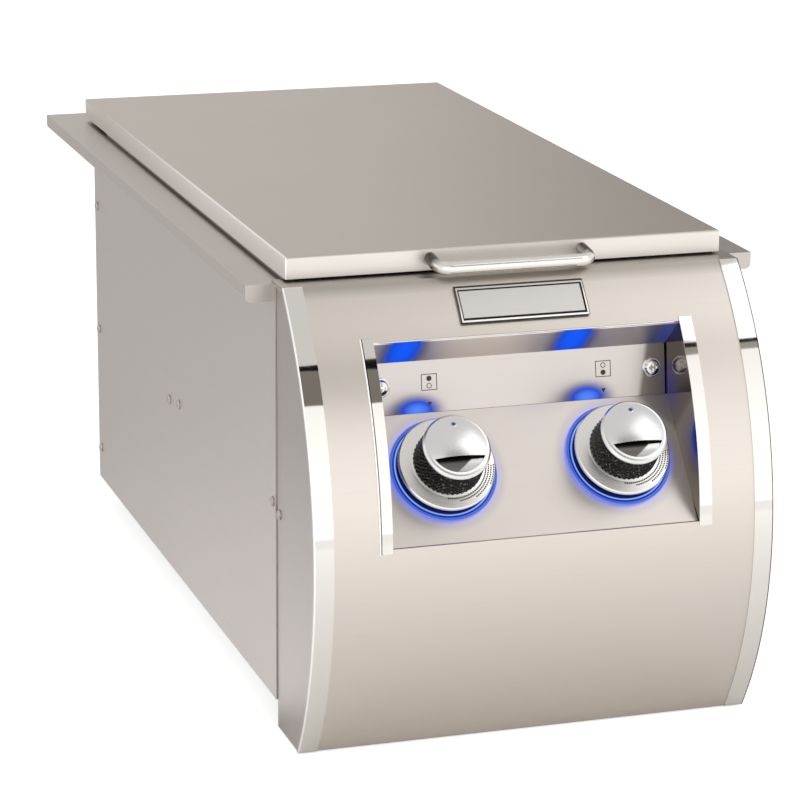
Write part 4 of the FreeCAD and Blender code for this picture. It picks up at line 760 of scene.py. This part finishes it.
def grow(name, tree, sizes, place, body):
    """Run a tree with its sizes and keep the result as a piece that rides on a body."""
    piece = place_object(name, bpy.data.meshes.new(name))
    modifier = piece.modifiers.new("grow", "NODES")
    modifier.node_group = tree
    for item in tree.interface.items_tree:
        if item.in_out == "INPUT":
            modifier[item.identifier] = sizes[item.name]
    bpy.context.view_layer.update()
    ready = piece.evaluated_get(bpy.context.evaluated_depsgraph_get())
    grown = bpy.data.meshes.new_from_object(ready)
    piece.modifiers.remove(modifier)
    piece.data = grown
    grown.transform(place)
    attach(piece, body)
    print(name, len(grown.polygons), "faces")
    return piece


# %% [markdown]
# The knurled grip. Its barrel is covered by a rolled diamond knurl, which glitters in single specks. It
# could be a bump pattern, but real diamonds hold up close to and from the side. A grid is rolled into a
# tube: every second crossing of the grid is raised, like a chess board, and the last rows fold inside and
# close the barrel.

# %% Finish of the grips
SPECK_MM = 1.1
GLINT_SPAN = (0.60, 0.68)
grip_black, tree, mm = start_finish("knurled_black_nylon", "070707", 0.0, 0.48, IOR=1.53,
                                    Specular_IOR_Level=0.22)
speck = add_node(tree, "ShaderNodeTexNoise", {"Vector": mm, "Scale": 1 / SPECK_MM, "Detail": 2.0})
texture_skin(tree, speck, swing=0.14, span=(0.35, 0.65))
# Painted glints: light specks over the black stand for the glitter of the knurl.
lay_over(tree, speck, "8E8A82", GLINT_SPAN)
print(grip_black.name, "specks", SPECK_MM, "mm wide")

# %% Knurled grips
WELD_MM = 0.005
KNURL = {"Around": 88, "Rows": 13, "Depth": 0.80 * MM, "Foot": GRIP_FOOT_RADIUS * MM,
         "Head": GRIP_HEAD_RADIUS * MM, "Bore": GRIP_BORE_RADIUS * MM, "Low": GRIP_LOW * MM,
         "High": GRIP_HIGH * MM}
tree, size = start_tree("knurl", KNURL)
columns = add_node(tree, "ShaderNodeMath", [size["Around"], 1], operation="ADD")
rows = add_node(tree, "ShaderNodeMath", [size["Rows"], 2], operation="ADD")
column, row = number_points(tree, rows)
part_turn = add_node(tree, "ShaderNodeMath", [column, size["Around"]], operation="DIVIDE")
angle = add_node(tree, "ShaderNodeMath", [part_turn, math.tau], operation="MULTIPLY")

last_wall = add_node(tree, "ShaderNodeMath", [size["Rows"], 1], operation="SUBTRACT")
past_foot = add_node(tree, "ShaderNodeMath", [row, 0.5], operation="GREATER_THAN")
before_end = add_node(tree, "ShaderNodeMath", [row, last_wall], operation="LESS_THAN")
on_wall = add_node(tree, "ShaderNodeMath", [past_foot, before_end], operation="MULTIPLY")
wall_rows = add_node(tree, "ShaderNodeMath", [size["Rows"], 3], operation="SUBTRACT")
risen = add_node(tree, "ShaderNodeMath", [row, 1], operation="SUBTRACT")
share = add_node(tree, "ShaderNodeMath", [risen, wall_rows], operation="DIVIDE", use_clamp=True)
not_closing = add_node(tree, "ShaderNodeMath", [row, size["Rows"]], operation="LESS_THAN")
share = add_node(tree, "ShaderNodeMath", [share, not_closing], operation="MULTIPLY")
height, barrel = [add_node(tree, "ShaderNodeMapRange", {"Value": share, "To Min": size[low],
                                                        "To Max": size[high]})
                  for low, high in (("Low", "High"), ("Foot", "Head"))]

crossing = add_node(tree, "ShaderNodeMath", [row, column], operation="ADD")
odd = add_node(tree, "ShaderNodeMath", [crossing, 2], operation="MODULO")
sunk = add_node(tree, "ShaderNodeMath", [odd, size["Depth"]], operation="MULTIPLY")
cut_in = add_node(tree, "ShaderNodeMath", [barrel, sunk], operation="SUBTRACT")
radius = add_node(tree, "ShaderNodeMapRange", {"Value": on_wall, "To Min": size["Bore"], "To Max": cut_in})
rolled = roll_grid(tree, columns, rows, angle, radius, height)
closed = add_node(tree, "GeometryNodeMergeByDistance", {"Geometry": rolled, "Distance": WELD_MM * MM})
end_tree(tree, closed, grip_black)
for side in turns:
    grip = grow(f"{side}_knurled_grip", tree, KNURL, on_knob(side), f"{side}_knob")
    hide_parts(f"{side}_knob_grip")

# %% [markdown]
# The flame scale. A wedge of printed dots runs round the lower right of the skirt, one row wide where the
# flame is low and four rows wide where it is high. Dots of real geometry stay sharp from close to, where a
# painted pattern blurs. A grid of points is bent into an arc, and a small disc is put on each point that
# lies in the wedge.

# %% Finish of the printed marks
FADE_MM = 1.5
scale_ink, tree, mm = start_finish("black_screen_ink", "1E1D1D", 0.0, 0.55, IOR=1.5)
fade = add_node(tree, "ShaderNodeTexNoise", {"Vector": mm, "Scale": 1 / FADE_MM, "Detail": 2.0})
lay_over(tree, fade, "45423F")
print(scale_ink.name, "fades over", FADE_MM, "mm")

# %% Dotted flame scale
SCALE_ROWS = 4
WEDGE_ROWS = (0.4, 4.2)
DOT_SIDES = 8
SKIRT_RADII = (23.3, 30.2)
SKIRT_HEIGHTS = (12.2, 11.3)
INK_PROUD = 0.06
FLAME = {"Columns": 30, "Start": -1.75, "End": -0.10, "Inner": 24.3 * MM, "Pitch": 1.72 * MM,
         "Dot": 0.60 * MM}
tree, size = start_tree("flame_scale", FLAME)
column, row = number_points(tree, SCALE_ROWS)
share = add_node(tree, "ShaderNodeMath", [column, size["Columns"]], operation="DIVIDE")
width = add_node(tree, "ShaderNodeMapRange", {"Value": share, "To Min": WEDGE_ROWS[0],
                                              "To Max": WEDGE_ROWS[1]})
in_wedge = add_node(tree, "ShaderNodeMath", [row, width], operation="LESS_THAN")
odd = add_node(tree, "ShaderNodeMath", [row, 2], operation="MODULO")
shift = add_node(tree, "ShaderNodeMath", [odd, 0.5], operation="MULTIPLY")
stagger = add_node(tree, "ShaderNodeMath", [column, shift], operation="ADD")
turn = add_node(tree, "ShaderNodeMath", [stagger, size["Columns"]], operation="DIVIDE")
angle = add_node(tree, "ShaderNodeMapRange", {"Value": turn, "To Min": size["Start"], "To Max": size["End"]})
out = add_node(tree, "ShaderNodeMath", [row, size["Pitch"]], operation="MULTIPLY")
radius = add_node(tree, "ShaderNodeMath", [out, size["Inner"]], operation="ADD")
lift = add_node(tree, "ShaderNodeMapRange", {
    "Value": radius, "From Min": SKIRT_RADII[0] * MM, "From Max": SKIRT_RADII[1] * MM,
    "To Min": (SKIRT_HEIGHTS[0] + INK_PROUD) * MM, "To Max": (SKIRT_HEIGHTS[1] + INK_PROUD) * MM})
bent = roll_grid(tree, size["Columns"], SCALE_ROWS, angle, radius, lift)
points = add_node(tree, "GeometryNodeMeshToPoints", {"Mesh": bent, "Selection": in_wedge})
disc = add_node(tree, "GeometryNodeMeshCircle", {"Vertices": DOT_SIDES, "Radius": size["Dot"]},
                fill_type="NGON")
dots = add_node(tree, "GeometryNodeInstanceOnPoints", {"Points": points, "Instance": disc})
end_tree(tree, dots, scale_ink)
for side in turns:
    grow(f"{side}_flame_scale", tree, FLAME, on_knob(side), f"{side}_knob")

# %% [markdown]
# A few small pieces are drawn point by point, because each is only a loop or two. A turned piece is a stack
# of circles with faces between them, as a lathe would cut it.

# %% Drawing small pieces
import bmesh


def circle(radius, segments):
    """Points of a circle round the origin."""
    angles = [math.tau * step / segments for step in range(segments)]
    return [(radius * math.cos(a), radius * math.sin(a)) for a in angles]


def bridge(mesh, first, second):
    """Faces between two loops of as many corners."""
    for step in range(len(first)):
        after = (step + 1) % len(first)
        mesh.faces.new((first[step], first[after], second[after], second[step]))


def keep_piece(mesh, name, place, body, finish):
    """Turn a drawn mesh into a piece that rides on a body."""
    data = bpy.data.meshes.new(name)
    mesh.to_mesh(data)
    mesh.free()
    data.transform(place)
    data.materials.append(finish)
    piece = place_object(name, data)
    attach(piece, body)
    print(name, len(data.polygons), "faces")


def turned_piece(name, profile, place, body, finish, segments=24):
    """Lathe a profile of radius and height pairs, in mm, and close both ends."""
    mesh = bmesh.new()
    rings = [[mesh.verts.new((x * MM, y * MM, level * MM)) for x, y in circle(radius, segments)]
             for radius, level in profile]
    for lower, upper in zip(rings, rings[1:]):
        bridge(mesh, lower, upper)
    mesh.faces.new(rings[0][::-1])
    mesh.faces.new(rings[-1])
    bmesh.ops.recalc_face_normals(mesh, faces=mesh.faces)
    keep_piece(mesh, name, place, body, finish)


# %% [markdown]
# The index. Near the top of each cap a small blue spot sits in a bright ring and points at the mark on the
# panel. Both are turned, a low spot in a rim that stands a little higher, and lean with the dome.

# %% Index spots
CAP_DOME_RADIUS = 54.8
CAP_DOME_CENTRE = GRIP_HIGH - 48.0
INDEX_OUT = 14.2
SPOT_PROFILE = [(1.35, -0.3), (1.35, 0.10), (0.5, 0.14)]
RIM_PROFILE = [(2.1, -0.3), (2.1, 0.05), (1.6, 0.22), (1.4, 0.08)]
index_blue, tree, mm = start_finish("blue_index_paint", "16295A", 0.0, 0.25, IOR=1.5)
fade = add_node(tree, "ShaderNodeTexNoise", {"Vector": mm, "Scale": 1.0, "Detail": 2.0})
lay_over(tree, fade, "3E63B4")
dome_height = CAP_DOME_CENTRE + math.sqrt(CAP_DOME_RADIUS ** 2 - INDEX_OUT ** 2)
lean = Matrix.Rotation(-math.asin(INDEX_OUT / CAP_DOME_RADIUS), 4, "X")
for side in turns:
    seat = on_knob(side) @ Matrix.Translation(Vector((0, INDEX_OUT, dome_height)) * MM) @ lean
    turned_piece(f"{side}_index_spot", SPOT_PROFILE, seat, f"{side}_knob", index_blue)
    turned_piece(f"{side}_index_rim", RIM_PROFILE, seat, f"{side}_knob", screw_steel)
print("index height", round(dome_height, 2), "mm")

# %% [markdown]
# The panel marks. A small picture of the two burners tells which burner each knob feeds: a frame with two
# spots, of which the filled one is meant. Under it a triangle points down at the knob. They could be masks
# like the painted lines, but a few flat outlines are easier to draw, and lie on the panel as thick ink does.

# %% Places on the label panel
MARK_PROUD = 0.08
label_low, label_high = [Vector(corner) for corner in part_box("label_panel")]
back_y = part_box("recess_ceiling")[1][1]
panel_foot = Vector((0, label_low.y, label_low.z))
panel_head = Vector((0, back_y, label_high.z))
up_label = (panel_head - panel_foot).normalized()
off_label = SIDEWAYS.cross(up_label)
off_label = off_label if off_label.y < 0 else -off_label


def on_label(x, up):
    """Matrix from the flat table, in metres, to a place on the label panel that is given in mm."""
    spot = panel_foot + (up_label * up + off_label * MARK_PROUD + SIDEWAYS * x) * MM
    return carry_to(spot, SIDEWAYS, up_label, off_label)


print("up the label panel", [round(c, 3) for c in up_label])

# %% Panel marks
FRAME_UP = 19.0
FRAME_HALF = 5.2
FRAME_LINE = 0.45
BURNER_UP = 2.3
BURNER_RADIUS = 1.7
BURNER_HOLE = 1.25
ARROW_UP = 5.2
ARROW = [(-1.5, 1.3), (0, -1.5), (1.5, 1.3)]
DISC_SIDES = 20


def draw_flat(mesh, place, outer, inner=()):
    """Ink inside an outline in mm, or between it and an inner one of as many points."""
    loops = [[mesh.verts.new(place @ (Vector((x, y, 0)) * MM)) for x, y in loop] for loop in (outer, inner)]
    if inner:
        bridge(mesh, *loops)
    else:
        mesh.faces.new(loops[0])


marks = bmesh.new()
for sign, filled in ((-1, 1), (1, -1)):
    centre_x = sign * KNOB_CENTRE.x / MM
    draw_flat(marks, on_label(centre_x, FRAME_UP), square(FRAME_HALF), square(FRAME_HALF - FRAME_LINE))
    for level in (-1, 1):
        burner = on_label(centre_x, FRAME_UP + level * BURNER_UP)
        hole = () if level == filled else circle(BURNER_HOLE, DISC_SIDES)
        draw_flat(marks, burner, circle(BURNER_RADIUS, DISC_SIDES), hole)
    draw_flat(marks, on_label(centre_x, ARROW_UP), ARROW)
keep_piece(marks, "panel_marks", Matrix(), "cabinet", scale_ink)

# %% [markdown]
# The blue lamps behind each ring also throw light up into the recess. On the sheet it makes soft blue spots:
# two where the label panel meets the knob panel, three on the ceiling over them, and a faint one on the right
# wall. Small lamps would light the whole recess and bring noise, so each spot is a glow in the sheet's own
# material that fades with the distance from a place.

# %% Blue light on the sheets
def blue_light(material, spots, tones, shadow="101C50"):
    """Soft blue spots on a sheet. Each has a centre and a reach in mm, and a peak from 0 to 1."""
    tree, mm = reopen(material)
    light = None
    for centre, reach, peak in spots:
        moved = add_node(tree, "ShaderNodeVectorMath", [mm, centre], operation="SUBTRACT")
        scaled = add_node(tree, "ShaderNodeVectorMath", [moved, reach], operation="DIVIDE")
        away = add_node(tree, "ShaderNodeVectorMath", [scaled], operation="LENGTH")
        near = add_node(tree, "ShaderNodeMapRange", {"Value": away.outputs["Value"], "To Min": peak,
                                                     "To Max": 0.0}, interpolation_type="SMOOTHSTEP")
        light = add_node(tree, "ShaderNodeMath", [light, near], operation="MAXIMUM") if light else near
    lay_over(tree, light, shadow, (0.0, 0.6))
    glow_by(tree, light, tones)
    print(material.name, len(spots), "blue spots")


CREASE_UP = 1.5
creases = [on_label(x, CREASE_UP).translation / MM for x in (-66.5, 46.5)]
blue_light(label_sheet, [(crease, (22.0, 22.0, 13.0), 1.0) for crease in creases],
           [(0.0, "000000"), (0.32, "141C4C"), (0.66, "2A4CC4"), (1.0, "5088FA")], "2A3880")
blue_light(ceiling_sheet, [((-78.0, -292.0, 250.0), (20.0, 60.0, 60.0), 1.0),
                           ((34.0, -292.0, 250.0), (20.0, 60.0, 60.0), 1.0),
                           ((97.0, -290.0, 250.0), (24.0, 80.0, 80.0), 0.36)],
           [(0.0, "000000"), (0.30, "101848"), (0.60, "0A48D0"), (1.0, "0058F8")])
blue_light(mirror_steel, [((102.0, -281.0, 214.0), (16.0, 34.0, 24.0), 0.45)],
           [(0.0, "000000"), (0.5, "221C5C"), (1.0, "3A30A0")], "1C1A40")

# %% [markdown]
# Round each glowing ring the knob panel itself glows with painted blue light, over a painted darker blue
# tint, an edge that is gone within a few millimetres. It is made as the spots are, with the distance from the
# knob's axis instead.

# %% Halo round the rings
HALO_MM = 7.5
UNDER_RING_MM = 1.0
halo_start = RING_RADIUS - UNDER_RING_MM
halo_end = RING_RADIUS + HALO_MM
tree, mm = reopen(panel_sheet)
radius, _, _, _ = round_the_knob(tree, mm)
lay_over(tree, radius, "2A2E60", (halo_end, halo_start), peak=0.30)
glow_by(tree, radius, [(0.0, "3444B8"), (0.25, "242C88"), (0.55, "121434"), (1.0, "000000")],
        (halo_start, halo_end))
print("halo", HALO_MM, "mm wide")

# %% [markdown]
# The right end of the label panel lies in the shade of the wall, and so does the corner of the knob panel
# under it. The soft lamps of this scene cast no such edge, so the shade is laid over the colour, and its edge
# is slanted and soft. The label panel doesn't quite reach the polished walls beside it, and the gap shows
# as a black line.

# %% Shade and gap
GAP_MM = 0.9
for finish, slant, start, blur, colour in ((label_sheet, -0.17, 45.3, 3.0, "837D78"),
                                           (panel_sheet, 1.08, 303.0, 5.0, "B6B0AA")):
    tree, mm = reopen(finish)
    x, _, z = add_node(tree, "ShaderNodeSeparateXYZ", [mm]).outputs
    leaning = add_node(tree, "ShaderNodeMath", [z, slant], operation="MULTIPLY")
    slanted = add_node(tree, "ShaderNodeMath", [x, leaning], operation="ADD")
    lay_over(tree, slanted, colour, (start, start + blur))

tree, mm = reopen(label_sheet)
x, _, _ = add_node(tree, "ShaderNodeSeparateXYZ", [mm]).outputs
aside = add_node(tree, "ShaderNodeMath", [x], operation="ABSOLUTE")
in_gap = add_node(tree, "ShaderNodeMath", [aside, label_high.x / MM - GAP_MM], operation="GREATER_THAN")
lay_over(tree, in_gap, "060606")
print("gap", GAP_MM, "mm wide")

# %% [markdown]
# The top edge of the opening is rolled over a wire, and catches the light as a thin bright bead. A plain
# washer lies under each screw of the label panel. Both are round, so the lathe makes them as it makes the
# index.

# %% Bead and washers
BEAD_RADIUS = 0.65
BEAD_HALF = 97.0
BEAD_PLACE = Vector((0, -299.4, 259.7))
SCREW_UP = 17.6
WASHER_PROFILE = [(6.2, -0.3), (6.2, 0.25), (5.8, 0.45)]
seat = Matrix.Translation(BEAD_PLACE * MM) @ Matrix.Rotation(math.pi / 2, 4, "Y")
turned_piece("opening_bead", [(BEAD_RADIUS, -BEAD_HALF), (BEAD_RADIUS, BEAD_HALF)], seat, "cabinet",
             screw_steel, segments=16)
for side, x in (("left", -90.0), ("right", 91.0)):
    turned_piece(f"{side}_label_washer", WASHER_PROFILE, on_label(x, SCREW_UP), "cabinet",
                 screw_steel, segments=32)
